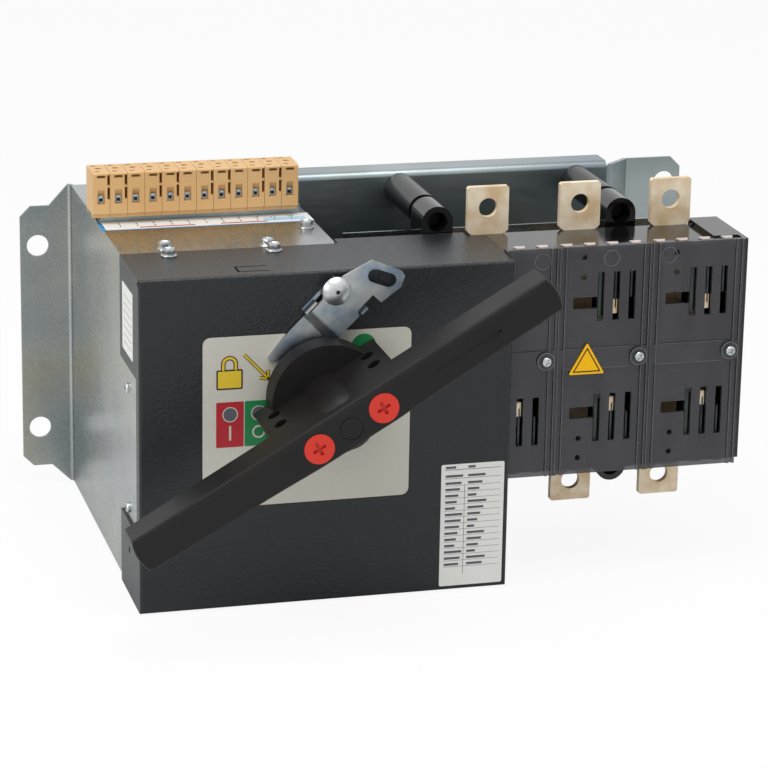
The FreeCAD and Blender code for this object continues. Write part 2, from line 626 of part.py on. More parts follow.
def terminal_bar(x, up):
    """Bar from behind the fixed contact out to the bolted end; up is 1 or -1."""
    back = BAR_FRONT + BAR_T
    near = BLADE_REACH + CONTACT_GAP
    edge = (BODY_TOP if up > 0 else BODY_BOTTOM) - PIVOT_Z
    root = abs(edge) + 0.4
    half, neck, c = BAR_W / 2, BAR_NECK_W / 2, BAR_CHAMFER
    outline = [(-neck, near), (neck, near), (neck, root), (half - c * 2, root), (half, root + c * 2),
               (half, BAR_REACH - c), (half - c, BAR_REACH), (c - half, BAR_REACH),
               (-half, BAR_REACH - c), (-half, root + c * 2), (c * 2 - half, root), (-neck, root)]
    bar = prism_y([(x + dx, PIVOT_Z + up * dz) for dx, dz in outline], BAR_FRONT, back)
    return bar.cut(rod_y(x, PIVOT_Z + up * BAR_HOLE_OUT, BAR_HOLE_R, BAR_FRONT - 1, back + 1))


def fixed_contact(x, up):
    """Contact block riveted to the bar's inner end, on which the blade's tip comes to rest."""
    near = BLADE_REACH + CONTACT_GAP
    low, high = sorted((PIVOT_Z + up * near, PIVOT_Z + up * (near + BAR_T)))
    block = box(x - BLADE_W / 2, x + BLADE_W / 2, ROTOR_Y - CONTACT_LEAD, BAR_FRONT, low, high)
    tip = [e for e in block.Edges if all(abs(v.Y - ROTOR_Y + CONTACT_LEAD) < 1e-6 for v in e.Vertexes)
           and abs(e.Vertexes[0].Z - e.Vertexes[1].Z) < 1e-6]
    return block.makeChamfer(CONTACT_CHAMFER, tip)


def pole_cover(x):
    """Smoked cover of one pole: face with vents, screw boss, edge ribs and clip returns."""
    half = POLE_PITCH / 2 - LAP
    front, back = POLE_COVER_FRONT, POLE_COVER_FRONT + POLE_COVER_T
    face = box(x - half, x + half, front, back, POLE_COVER_BOTTOM, POLE_COVER_TOP)
    returns = [box(x - half, x + half, front, front + POLE_COVER_RETURN, z, z + RETURN_T)
               for z in (BODY_TOP + LAP, BODY_BOTTOM - LAP - RETURN_T)]
    right = half - RIB_W
    ribs = [box(x + dx, x + dx + RIB_W, front - RIB_H, back, POLE_COVER_BOTTOM, POLE_COVER_TOP)
            for dx in (-half, RIB_PITCH - half, right - RIB_PITCH, right)]
    band = box(x - half, x + half, front - BAND_H, front, POLE_COVER_MID - BAND_HALF,
               POLE_COVER_MID + BAND_HALF)
    boss = rod_y(x + POLE_SCREW_X, POLE_COVER_MID, POLE_BOSS_R, front - POLE_BOSS_H, back)
    cover = join([face, band, boss] + returns + ribs)
    tools = []
    for up in (1, -1):
        mid = POLE_COVER_MID + up * VENT_OFFSET
        for n in range(3):
            vx = x + VENT_X + n * VENT_PITCH
            tools.append(box(vx - VENT_W / 2, vx + VENT_W / 2, front - 3, back + 1,
                             mid - VENT_LENGTH / 2, mid + VENT_LENGTH / 2))
        arm_x = x + VENT_X - VENT_W / 2
        arm_z = mid - up * VENT_ARM_IN
        tools.append(box(arm_x - VENT_ARM + 2, arm_x + 1, front - 3, back + 1,
                         arm_z - VENT_ARM_H / 2, arm_z + VENT_ARM_H / 2))
        for dz in EYE_OUT:
            tools.append(rod_y(x + EYE_X, POLE_COVER_MID + up * dz, EYE_R, front - 3, back + 1))
    tools.append(rod_y(x + POLE_SCREW_X, POLE_COVER_MID, POLE_SCREW_R, front - 3, back + 1))
    tools.append(front_cover_room())
    return cut_all(cover, tools)


def spacer(x, z):
    """Tube between the switch's back plate and the carrier, necked where it meets the plate."""
    start, end = BACKPLATE_FRONT + SHEET, CARRIER_FRONT
    tube = rod_y(x, z, SPACER_NECK_R, start, start + SPACER_NECK).fuse(
        rod_y(x, z, SPACER_R, start + SPACER_NECK, end))
    return tube.removeSplitter().cut(rod_y(x, z, SCREW_R + LAP, start - 1, end + 1))


def long_screw(x, z):
    """Hexagon screw through lug, spacer and carrier, with its nut."""
    seat = BODY_BACK - LUG_SEAT
    nut = CARRIER_BACK
    head = [(x + SCREW_HEAD_R * math.cos(math.radians(60 * k)),
             z + SCREW_HEAD_R * math.sin(math.radians(60 * k))) for k in range(6)]
    shank = rod_y(x, z, SCREW_R, seat, nut + SCREW_HEAD + 2)
    return join([prism_y(head, seat - SCREW_HEAD, seat), shank, prism_y(head, nut, nut + SCREW_HEAD)])


def back_plate():
    """Galvanised plate across the back of the three poles and the drive."""
    y0, y1 = BACKPLATE_FRONT, BACKPLATE_FRONT + SHEET
    plate = box(BACKPLATE_X0, BACKPLATE_X1, y0, y1, BACKPLATE_BOTTOM, BACKPLATE_TOP)
    ears = []
    for x, z in LUGS:
        low, high = sorted((z, PIVOT_Z))
        ears.append(box(x - SPACER_NECK_R, x + SPACER_NECK_R, y0, y1, low, high))
        ears.append(rod_y(x, z, SPACER_NECK_R, y0, y1))
    holes = [rod_y(x, z, SCREW_R + LAP, y0 - 1, y1 + 1) for x, z in LUGS]
    return cut_all(join([plate] + ears), holes)


# ---------------------------------------------------------------- contact rotor
def contact_shaft():
    """Insulating shaft through the poles, flattened where each blade passes."""
    start, small = PIVOT_X + BEVEL_R + 4, PIVOT_X + BEVEL_R - BEVEL_FACE
    shaft = join([rod_x(ROTOR_Y, PIVOT_Z, ROTOR_R, start, BODY_X1 - BODY_END_RIGHT - GAP),
                  rod_x(ROTOR_Y, PIVOT_Z, BEVEL_NECK_R, small, start + 1)])
    slots = [box(x - BLADE_W / 2, x + BLADE_W / 2, ROTOR_Y - ROTOR_R - 1, ROTOR_Y + ROTOR_R + 1,
                 PIVOT_Z - BLADE_T / 2, PIVOT_Z + BLADE_T / 2) for x in POLE_X]
    return cut_all(shaft, slots)


def contact_blade(x):
    """Moving blade with rounded tips, lying across the shaft while the switch is open."""
    half = BLADE_T / 2
    arm = box(x - BLADE_W / 2, x + BLADE_W / 2, ROTOR_Y - BLADE_REACH + half,
              ROTOR_Y + BLADE_REACH - half, PIVOT_Z - half, PIVOT_Z + half)
    tips = [rod_x(ROTOR_Y + s * (BLADE_REACH - half), PIVOT_Z, half, x - BLADE_W / 2, x + BLADE_W / 2)
            for s in (-1, 1)]
    return join([arm] + tips)


# ---------------------------------------------------------------- gears
def gear_outline(teeth, phase):
    """Straight-flanked tooth outline as (x, z) pairs round the origin."""
    pitch_r = MODULE * teeth / 2
    tip, root = pitch_r + MODULE * 0.9, pitch_r - MODULE * 1.2
    step = 360.0 / teeth
    at_pitch = (math.pi * MODULE / 2 - BACKLASH) / pitch_r / 2
    lean = math.tan(math.radians(20)) / pitch_r
    points = []
    for n in range(teeth):
        middle = math.radians(phase + n * step)
        for r, sign in ((root, -1), (tip, -1), (tip, 1), (root, 1)):
            a = middle + sign * (at_pitch - (r - pitch_r) * lean)
            points.append((r * math.cos(a), r * math.sin(a)))
    return points


def spur_gear(teeth, phase, x, z, bore):
    points = [(x + dx, z + dz) for dx, dz in gear_outline(teeth, phase)]
    wheel = prism_y(points, GEAR_FRONT, GEAR_FRONT + GEAR_W)
    return wheel.cut(rod_y(x, z, bore, GEAR_FRONT - 1, GEAR_FRONT + GEAR_W + 1))


def bevel_gear(phase, bore, hub):
    """Forty-five degree bevel gear round +Z with its cone point at the origin."""
    outline = gear_outline(BEVEL_TEETH, phase)
    rings = []
    for share in (1.0, 1.0 - BEVEL_FACE / BEVEL_R):
        ring = []
        for px, py in outline:
            along = BEVEL_R - (math.hypot(px, py) - BEVEL_R) * 0.6
            ring.append(V(px * share, py * share, along * share))
        flat = [V(p.x, p.y, BEVEL_R * share) for p in ring]
        rings.append(Part.makePolygon(flat + flat[:1]))
    wheel = Part.makeLoft(rings, True, True)
    root = BEVEL_R - MODULE * 1.2
    boss = Part.makeCylinder(root, hub, V(0, 0, BEVEL_R - 0.01), V(0, 0, 1))
    return join([wheel, boss]).cut(Part.makeCylinder(bore, 2 * BEVEL_R, V(0, 0, 0.1), V(0, 0, 1)))


def bevel_drive():
    """Bevel gear on the handle shaft, in front of the rotor's axis."""
    wheel = bevel_gear(0, SHAFT_R, 5)
    wheel.rotate(V(0, 0, 0), V(1, 0, 0), 90)
    wheel.translate(V(PIVOT_X, ROTOR_Y, PIVOT_Z))
    return wheel


def bevel_driven():
    """Bevel gear on the rotor's neck, half a tooth round from the driving one."""
    wheel = bevel_gear(180.0 / BEVEL_TEETH, BEVEL_NECK_R, 4)
    wheel.rotate(V(0, 0, 0), V(0, 1, 0), 90)
    wheel.translate(V(PIVOT_X, ROTOR_Y, PIVOT_Z))
    return wheel


# ---------------------------------------------------------------- handle
def grip_outline():
    """Plan of the grip: straight upper edge, bellied lower edge and bowed ends."""
    end, up, down, belly = GRIP_HALF - END_BULGE, GRIP_UP, GRIP_DOWN, GRIP_BELLY
    mid = (up - down) / 2
    waist, wide = HUB_HALF + WAIST_OUT, HUB_HALF - BELLY_IN
    pts = [V(-end, 0, up), V(end, 0, up), V(end, 0, -down), V(waist, 0, -GRIP_WAIST), V(wide, 0, -belly),
           V(-wide, 0, -belly), V(-waist, 0, -GRIP_WAIST), V(-end, 0, -down)]
    edges = [Part.LineSegment(pts[0], pts[1]).toShape(),
             Part.Arc(pts[1], V(GRIP_HALF, 0, mid), pts[2]).toShape()]
    edges += [Part.LineSegment(a, b).toShape() for a, b in zip(pts[2:], pts[3:])]
    edges.append(Part.Arc(pts[-1], V(-GRIP_HALF, 0, mid), pts[0]).toShape())
    return Part.Face(Part.Wire(edges))


def grip_shell():
    grip = grip_outline().extrude(V(0, -GRIP_DEPTH, 0))
    grip.translate(V(0, GRIP_DEPTH - GRIP_FRONT, 0))
    face_edges = [e for e in grip.Edges if all(abs(v.Y + GRIP_FRONT) < 1e-6 for v in e.Vertexes)]
    grip = grip.makeFillet(GRIP_ROUND, face_edges)
    back = GRIP_DEPTH - GRIP_FRONT
    wall = GRIP_WALL
    far = GRIP_HALF - END_BULGE - wall
    pockets = [box(x0, x1, wall - GRIP_FRONT, back + 1, wall - GRIP_DOWN, GRIP_UP - wall)
               for x0, x1 in ((-far, -HUB_HALF - 9), (HUB_HALF + 9, far))]
    return cut_all(grip, pockets)


def handle():
    """Grip, hub block, round boss and disc, moulded in one."""
    back = GRIP_DEPTH - GRIP_FRONT
    block = box(-HUB_HALF, HUB_HALF, back - 1, -DISC_BACK, -GRIP_BELLY, GRIP_UP)
    boss = Part.makeCylinder(BOSS_R, BOSS_FRONT - DISC_FRONT, V(0, -BOSS_FRONT, 0), V(0, 1, 0))
    rim = [e for e in boss.Edges if e.Curve.TypeId == "Part::GeomCircle"
           and abs(e.Curve.Center.y + BOSS_FRONT) < 1e-6]
    boss = boss.makeFillet(BOSS_R * 0.55, rim)
    disc = Part.makeCone(DISC_R - DISC_TAPER, DISC_R, DISC_FRONT - DISC_BACK,
                         V(0, -DISC_FRONT, 0), V(0, 1, 0))
    body = join([grip_shell(), block, boss, disc])
    tools = []
    for s in (-1, 1):
        for out in HUB_HOLE_OUT:
            for top in (GRIP_UP, -GRIP_BELLY):
                z0 = top - HUB_HOLE_DEPTH if top > 0 else top - 1
                tools.append(rod_z(s * HUB_HOLE_X, -out, HUB_HOLE_R, z0, z0 + HUB_HOLE_DEPTH + 1))
        tools.append(rod_y(s * CAP_X, 0, CAP_R + FIT, -GRIP_FRONT - 1, CAP_T - GRIP_FRONT))
        tools.append(rod_y(s * CAP_X, 0, CAP_BORE_R, -GRIP_FRONT, CAP_BORE - GRIP_FRONT))
    tools.append(rod_y(0, 0, SHAFT_R + FIT, -SHAFT_REACH, 0))
    ring = rod_y(0, 0, RING_R, -GRIP_FRONT - 1, RING_DEEP - GRIP_FRONT).cut(
        rod_y(0, 0, RING_R - RING_LINE, -GRIP_FRONT - 2, 2 - GRIP_FRONT))
    return on_pivot(cut_all(body, tools + [ring]), HANDLE_ANGLE)


def handle_cap(side):
    cap = rod_y(side * CAP_X, 0, CAP_R, -GRIP_FRONT - CAP_PROUD, CAP_T - GRIP_FRONT)
    cross = [box(side * CAP_X - a, side * CAP_X + a, -GRIP_FRONT - 1, CROSS_DEEP - GRIP_FRONT, -b, b)
             for a, b in ((CROSS_HALF, CROSS_LINE), (CROSS_LINE, CROSS_HALF))]
    return on_pivot(cut_all(cap, cross), HANDLE_ANGLE)


def drive_shaft():
    return rod_y(PIVOT_X, PIVOT_Z, SHAFT_R, COVER_Y - SHAFT_REACH, PLATE_FRONT + PLATE_T + SHAFT_TAIL)


# ---------------------------------------------------------------- lock slide
def slide_outline():
    """Plan of the slide, along its travel and across it, round from the tail."""
    inn, out = SLIDE_EDGE_IN, SLIDE_EDGE_OUT
    middle = SLIDE_TAIL[-1][0] + out - SLIDE_TAIL[-1][1]
    foot = SLIDE_HEAD[-1][0]
    return list(SLIDE_TAIL) + [(middle, out)] + list(SLIDE_HEAD) + [(foot, inn), (inn, inn)]


def lock_slide():
    """Flat slide with a step up beside the disc, a guide slot and the padlock hole."""
    low = -SLIDE_LOW - SLIDE_T
    high = low - SLIDE_RISE
    s0, s1 = SLIDE_STEP, SLIDE_STEP + SLIDE_STEP_RUN
    profile = [V(-s0, -SLIDE_LOW - SLIDE_T / 2, 0), V(s0, -SLIDE_LOW - SLIDE_T / 2, 0),
               V(s1, high + SLIDE_T / 2, 0), V(4 * s0, high + SLIDE_T / 2, 0)]
    strip = bent_strip(profile, SLIDE_T, SLIDE_BEND).extrude(V(0, 0, 2 * SLIDE_EDGE_OUT))
    plate = strip.common(prism_y(slide_outline(), -12, 1))
    travel = slot_prism(STUD_S + SLIDE_TRAVEL / 2, STUD_T, 2 * STUD_R + SLIDE_TRAVEL + 2 * GAP,
                        2 * STUD_R + 2 * GAP, 0, -12, 1)
    lock = slot_prism(LOCK_HOLE_S, LOCK_HOLE_T, LOCK_HOLE_L, LOCK_HOLE_W, LOCK_HOLE_TILT, -12, 1)
    return on_pivot(cut_all(plate, [travel, lock]), SLIDE_ANGLE)


def lock_guide():
    """Bracket on the cover's face with two upright ears that steer the slide."""
    inner = SLIDE_EDGE_IN - GAP
    outer, rim = SLIDE_EDGE_OUT + GUIDE_GAP, SLIDE_EDGE_OUT + GUIDE_WIDE
    base = box(GUIDE_BASE, GUIDE_TO, -GUIDE_T, 0, inner, rim)
    arm = box(GUIDE_FROM, GUIDE_TO, -GUIDE_T, 0, outer, rim)
    ear_out = box(GUIDE_FROM, GUIDE_FROM + EAR_OUT, -EAR_H, 0, outer, outer + EAR_T)
    ear_in = box(EAR_IN[0], EAR_IN[1], -EAR_H, 0, inner, inner + EAR_T)
    bracket = join([base, arm, ear_out, ear_in])
    return on_pivot(bracket.cut(rod_y(STUD_S, STUD_T, STUD_R, -3, 1)), SLIDE_ANGLE)


def guide_stud():
    """Stud with a domed head that holds the slide down."""
    under = SLIDE_LOW + SLIDE_T + SLIDE_RISE + GAP
    sphere_r = (STUD_HEAD_R ** 2 + STUD_HEAD_H ** 2) / (2 * STUD_HEAD_H)
    ball = Part.makeSphere(sphere_r, V(STUD_S, sphere_r - STUD_HEAD_H - under, STUD_T))
    dome = ball.common(rod_y(STUD_S, STUD_T, STUD_HEAD_R, -under - STUD_HEAD_H - 1, -under))
    dimple = rod_y(STUD_S, STUD_T, STUD_DIMPLE_R, -under - STUD_HEAD_H - 1,
                   STUD_DIMPLE - under - STUD_HEAD_H)
    shank = rod_y(STUD_S, STUD_T, STUD_R, -under - 0.5, 0)
    return on_pivot(join([dome.cut(dimple), shank]), SLIDE_ANGLE)


# ---------------------------------------------------------------- motor
def gear_motor():
    """Motor with its gearbox in front of the drive plate."""
    gearbox = rod_y(MOTOR_X, MOTOR_Z, GEARBOX_R, GEAR_FRONT + GEAR_W + 2, PLATE_FRONT)
    can = rod_y(MOTOR_X, MOTOR_Z, MOTOR_R, HOUSING_FRONT, MOTOR_BACK)
    neck = rod_y(MOTOR_X, MOTOR_Z, MOTOR_NECK_R, PLATE_FRONT - 1, HOUSING_FRONT + 1)
    spindle_room = rod_y(MOTOR_X, MOTOR_Z, SPINDLE_R + FIT, GEAR_FRONT, PLATE_FRONT)
    return join([gearbox, can, neck]).cut(spindle_room)


def motor_pinion():
    toothed = spur_gear(PINION_TEETH, MOTOR_DIRECTION + 180 + 180.0 / PINION_TEETH, MOTOR_X, MOTOR_Z, 0.5)
    spindle = rod_y(MOTOR_X, MOTOR_Z, SPINDLE_R, GEAR_FRONT, PLATE_FRONT - 1)
    return join([toothed, spindle])


def drive_gear():
    return spur_gear(DRIVE_TEETH, MOTOR_DIRECTION, PIVOT_X, PIVOT_Z, SHAFT_R)


def drive_plate():
    """Plate across the housing's mouth that carries the motor and the shaft's rear bearing."""
    y0, y1 = PLATE_FRONT, HOUSING_FRONT
    plate = box(WALL_X + SHEET + LAP, HOUSING_X1, y0, y1, HOUSING_BOTTOM, HOUSING_TOP)
    holes = [rod_y(MOTOR_X, MOTOR_Z, MOTOR_NECK_R, y0 - 1, y1 + 1),
             rod_y(PIVOT_X, PIVOT_Z, SHAFT_R + BUSH_WALL, y0 - 1, y1 + 1)]
    return cut_all(plate, holes)


def shaft_bush():
    y0, y1 = PLATE_FRONT - BUSH_LIP, HOUSING_FRONT + BUSH_TAIL
    sleeve = rod_y(PIVOT_X, PIVOT_Z, SHAFT_R + BUSH_WALL, y0, y1)
    collar = rod_y(PIVOT_X, PIVOT_Z, SHAFT_R + 2 * BUSH_WALL, y0, PLATE_FRONT)
    return join([sleeve, collar]).cut(rod_y(PIVOT_X, PIVOT_Z, SHAFT_R + FIT, y0 - 1, y1 - BUSH_LIP))


# ---------------------------------------------------------------- all pieces
def pieces():
    out = {
        "motor_housing": motor_housing(),
        "front_cover": front_cover(),
        "switch_carrier": switch_carrier(),
        "right_bracket": right_bracket(),
        "terminal_rail": terminal_rail(),
        "switch_body": switch_body(),
        "back_plate": back_plate(),
        "contact_shaft": contact_shaft(),
        "drive_shaft": drive_shaft(),
        "drive_gear": drive_gear(),
        "bevel_drive": bevel_drive(),
        "bevel_driven": bevel_driven(),
        "motor_pinion": motor_pinion(),
        "gear_motor": gear_motor(),
        "drive_plate": drive_plate(),
        "shaft_bush": shaft_bush(),
        "handle": handle(),
        "handle_cap_left": handle_cap(-1),
        "handle_cap_right": handle_cap(1),
        "lock_slide": lock_slide(),
        "lock_guide": lock_guide(),
        "guide_stud": guide_stud(),
    }
    for n in range(BLOCKS):
        last = n % GROUP == GROUP - 1
        out["terminal_block_%02d" % (n + 1)] = terminal_block(BLOCK_X0 + n * BLOCK_PITCH, last)
    for n, x in enumerate(POLE_X, 1):
        out["pole_cover_%d" % n] = pole_cover(x)
        out["contact_blade_%d" % n] = contact_blade(x)
        out["terminal_bar_top_%d" % n] = terminal_bar(x, 1)
        out["terminal_bar_bottom_%d" % n] = terminal_bar(x, -1)
        out["fixed_contact_top_%d" % n] = fixed_contact(x, 1)
        out["fixed_contact_bottom_%d" % n] = fixed_contact(x, -1)
    for n, (x, z) in enumerate(LUGS, 1):
        out["spacer_%d" % n] = spacer(x, z)
        out["long_screw_%d" % n] = long_screw(x, z)
    return out


def main():
    os.makedirs("parts", exist_ok=True)
    for name, shape in pieces().items():
        shape.exportStep(os.path.join("parts", name + ".step"))
        box_ = shape.BoundBox
        print("%-24s solids %d valid %s volume %10.1f  X %.1f..%.1f Y %.1f..%.1f Z %.1f..%.1f" % (
            name, len(shape.Solids), shape.isValid(), shape.Volume, box_.XMin, box_.XMax,
            box_.YMin, box_.YMax, box_.ZMin, box_.ZMax))


main()
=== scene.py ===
# %% [markdown]
# # A motor-operated transfer switch
# The object is a switchgear assembly on a folded steel chassis: a motor housing with a painted cover
# on the left, and a three-pole switch under smoked covers on the right. Its solid shapes come ready
# from the frame. This notebook gives every piece its real finish, and adds what is too small or too
# thin for the solid model: screws, clamps, clips, printed films and raised marks.

# %% Load the frame
import json
import math

import bpy
from mathutils import Matrix, Vector

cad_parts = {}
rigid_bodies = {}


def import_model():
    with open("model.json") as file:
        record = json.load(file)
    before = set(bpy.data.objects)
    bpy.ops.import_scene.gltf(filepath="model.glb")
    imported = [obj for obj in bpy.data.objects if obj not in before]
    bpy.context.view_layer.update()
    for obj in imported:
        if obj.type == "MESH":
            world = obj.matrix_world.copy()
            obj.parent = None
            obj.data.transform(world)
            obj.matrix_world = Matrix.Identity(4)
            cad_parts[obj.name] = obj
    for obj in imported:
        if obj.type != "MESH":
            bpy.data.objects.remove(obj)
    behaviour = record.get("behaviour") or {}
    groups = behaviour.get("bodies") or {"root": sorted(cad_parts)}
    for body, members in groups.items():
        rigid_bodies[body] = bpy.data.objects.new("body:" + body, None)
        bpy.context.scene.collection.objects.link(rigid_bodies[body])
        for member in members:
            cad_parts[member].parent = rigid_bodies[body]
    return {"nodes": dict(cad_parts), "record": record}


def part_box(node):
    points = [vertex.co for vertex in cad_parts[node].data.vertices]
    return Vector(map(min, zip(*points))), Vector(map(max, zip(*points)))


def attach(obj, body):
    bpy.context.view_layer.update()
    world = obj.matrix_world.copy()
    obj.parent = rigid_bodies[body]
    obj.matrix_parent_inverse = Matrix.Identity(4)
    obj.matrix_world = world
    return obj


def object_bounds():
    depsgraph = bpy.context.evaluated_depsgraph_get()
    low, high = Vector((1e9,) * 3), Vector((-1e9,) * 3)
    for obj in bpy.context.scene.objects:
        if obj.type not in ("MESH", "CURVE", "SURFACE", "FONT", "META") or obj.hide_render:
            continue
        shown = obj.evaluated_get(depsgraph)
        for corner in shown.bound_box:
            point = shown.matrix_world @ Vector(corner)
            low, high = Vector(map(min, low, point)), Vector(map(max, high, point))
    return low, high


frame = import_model()
nodes = frame["nodes"]
cad_box = [list(corner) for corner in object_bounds()]
MM = 0.001
print("pieces in the frame:", len(nodes))

# %% [markdown]
# ## Places read from the frame
# Screws, films and clips sit on surfaces of the solids. Their places are measured from those solids,
# so that they stay in place if a solid changes its size.

# %% Measure the solids


def corners(node):
    """Lowest and highest corner of a solid, in millimetres."""
    low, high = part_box(node)
    return low / MM, high / MM


cover_low, cover_high = corners("front_cover")
plate_top = corners("motor_housing")[1].z
face_y = cover_low.y
lip_top = cover_high.z
lip_x = cover_low.x
shaft_low, shaft_high = corners("drive_shaft")
pivot = Vector(((shaft_low.x + shaft_high.x) / 2, face_y, (shaft_low.z + shaft_high.z) / 2))
poles = []
for number in (1, 2, 3):
    low, high = corners("terminal_bar_top_%d" % number)
    poles.append((low.x + high.x) / 2)
smoked_low, smoked_high = corners("pole_cover_3")
middle_z = 40.2      # height of the middle of the pole covers
screw_aside = 24.7   # from the middle of a pole to its cover's screw
cap_aside = 23.9     # from the pivot to a red cap, along the grip
grip_angle = -30.4   # how the grip lies at rest, in degrees
print("cover face", round(face_y, 1), "housing top", round(plate_top, 1), "pivot", pivot, "poles", poles)

# %% [markdown]
# ## Camera
# The camera stands left of the object and above it, far away with a long lens, so that upright edges
# stay nearly parallel. Its place, heading and tilt fix three axes, which become the camera's matrix.
# The long lens looks a little beside the object, and a small shift brings the object to its place.

# %% Place the camera
camera_place = Vector((-326.0, -2138.7, 639.2))
heading, tilt, roll = 0.2748, 0.2890, 0.0202
forward = Vector((math.sin(heading) * math.cos(tilt), math.cos(heading) * math.cos(tilt),
                  -math.sin(tilt)))
level = Vector((math.cos(heading), -math.sin(heading), 0))
upright = level.cross(forward)
right = level * math.cos(roll) + upright * math.sin(roll)
above = upright * math.cos(roll) - level * math.sin(roll)

camera_data = bpy.data.cameras.new("camera")
camera = bpy.data.objects.new("camera", camera_data)
bpy.context.scene.collection.objects.link(camera)
turn = Matrix((right, above, -forward)).transposed().to_4x4()
camera.matrix_world = Matrix.Translation(camera_place * MM) @ turn
view, focal = 768, 3111.87              # width of the view and the lens's length in its units
aim_across, aim_down = 408.93, 342.66   # where the lens's own middle falls in the view
camera_data.sensor_width = 36
camera_data.lens = camera_data.sensor_width * focal / view
camera_data.shift_x = (view / 2 - aim_across) / view
camera_data.shift_y = (aim_down - view / 2) / view
camera_data.clip_end = 20
bpy.context.scene.camera = camera
print("lens", round(camera_data.lens, 1), "mm")

# %% [markdown]
# ## Material helpers
# Colours are written as hex values, as a painter's chart gives them, and one function turns them to
# linear light. A second function adds a node to a material: it sets the node's own settings, then
# fills each input with a number or joins it to another node's output. The rest are short forms for
# what every finish needs: noise, a mix of two colours, a change of range, roughness and a bump.

# %% Colour and node helpers


def linear(colour):
    """Linear red, green, blue and alpha of a hex colour."""
    parts = [int(colour[i:i + 2], 16) / 255 for i in (1, 3, 5)]
    return tuple(c / 12.92 if c <= 0.04045 else ((c + 0.055) / 1.055) ** 2.4 for c in parts) + (1.0,)


def add(tree, kind, inputs, **settings):
    """Adds a node with its settings, and fills or joins its inputs."""
    node = tree.nodes.new(kind)
    for name, value in settings.items():
        setattr(node, name, value)
    for name, value in inputs.items():
        if isinstance(value, bpy.types.NodeSocket):
            tree.links.new(value, node.inputs[name])
        else:
            node.inputs[name].default_value = value
    return node


def begin(name, colour, metallic, roughness, ior=1.5):
    """A new material with a Principled shader; returns the material, its tree and the shader."""
    material = bpy.data.materials.new(name)
    material.use_nodes = True
    shader = material.node_tree.nodes["Principled BSDF"]
    shader.inputs["Base Color"].default_value = linear(colour)
    shader.inputs["Metallic"].default_value = metallic
    shader.inputs["Roughness"].default_value = roughness
    if metallic < 1:
        shader.inputs["IOR"].default_value = ior
    return material, material.node_tree, shader


def per_metre(size_mm):
    """Noise scale that gives features of about this size in millimetres."""
    return 1000.0 / size_mm


def own_place(tree):
    """The place on the piece, in metres."""
    return add(tree, "ShaderNodeTexCoord", {}).outputs["Object"]


def stretched(tree, place, scales):
    """The place with a scale of its own along each axis."""
    return add(tree, "ShaderNodeMapping", {"Vector": place, "Scale": scales}).outputs["Vector"]


def noise(tree, place, scale, detail, distortion=0.0):
    """A noise between 0 and 1."""
    inputs = {"Vector": place, "Scale": scale, "Detail": detail, "Distortion": distortion}
    return add(tree, "ShaderNodeTexNoise", inputs).outputs["Fac"]


def mapped(tree, value, low, high, start=0.0, end=1.0):
    """A value brought from the range start to end into the range low to high."""
    inputs = {"Value": value, "From Min": start, "From Max": end, "To Min": low, "To Max": high}
    return add(tree, "ShaderNodeMapRange", inputs).outputs["Result"]


def mixed(tree, share, first, second):
    """A colour between two, each of them a hex value or another node's output."""
    first, second = (linear(c) if isinstance(c, str) else c for c in (first, second))
    return add(tree, "ShaderNodeMix", {0: share, 6: first, 7: second}, data_type="RGBA").outputs[2]


def dress(tree, shader, colour, rough=None, relief=None):
    """Joins a colour, a roughness and a relief (height, strength, depth in metres) to a shader."""
    tree.links.new(colour, shader.inputs["Base Color"])
    if rough is not None:
        tree.links.new(rough, shader.inputs["Roughness"])
    if relief is not None:
        inputs = dict(zip(("Height", "Strength", "Distance"), relief))
        bump = add(tree, "ShaderNodeBump", inputs)
        tree.links.new(bump.outputs["Normal"], shader.inputs["Normal"])


def coat(material, *names):
    """Gives pieces of the frame their finish."""
    for name in names:
        nodes[name].data.materials[0] = material


print("grey #808080 is", round(linear("#808080")[0], 3), "in linear light")

# %% [markdown]
# ## Galvanised sheet steel
# The chassis is folded from cold-rolled sheet with a passivated zinc coat. Zinc is a metal, so its
# colour is that of its reflection. Passivation leaves faint blue and straw-yellow clouds a few
# centimetres wide, and the rolling leaves fine lines along the sheet. One wide noise makes the
# clouds, one stretched noise makes the lines, and both stay weak.

# %% Galvanised steel


def galvanised(name, base, cloud, tint, lines, rough_low, rough_high):
    """Zinc coat with clouds, a straw tint, and rolled lines with a scale along each axis."""
    material, tree, shader = begin(name, base, 1.0, rough_low)
    place = own_place(tree)
    wide = noise(tree, place, per_metre(70), 2.0)
    other = noise(tree, place, per_metre(110), 1.0, 0.6)
    fine = noise(tree, stretched(tree, place, lines), 1.0, 3.0)
    colour = mixed(tree, mapped(tree, wide, 0.0, 1.0, 0.35, 0.65), base, cloud)
    tinted = mixed(tree, mapped(tree, other, 0.0, 0.55, 0.52, 0.75), colour, tint)
    dress(tree, shader, tinted, mapped(tree, fine, rough_low, rough_high), (fine, 0.06, 0.0002))
    return material


zinc_wall = galvanised("galvanised sheet, housing", "#979fa2", "#aeb1ad", "#aba388",
                       (1200, 60, 1200), 0.20, 0.36)
# Painted shade: the carrier's copy of the zinc has a darker base colour than the housing's.
zinc_carrier_shaded = galvanised("galvanised sheet, carrier", "#849095", "#9fa9ab", "#9c9f91",
                          (40, 1200, 1200), 0.24, 0.42)
coat(zinc_wall, "motor_housing", "back_plate")
coat(zinc_carrier_shaded, "switch_carrier", "right_bracket", "terminal_rail")
print("galvanised pieces: 5")

# %% [markdown]
# ## Textured powder coat
# The front cover is sprayed with dark grey powder that flows into small leathery dimples while it
# is baked, nearly two millimetres apart. The dimples are too shallow to model, so a bump draws
# them: a cell pattern gives the rounded hollows and a noise breaks its regularity. The gloss is low
# and even.

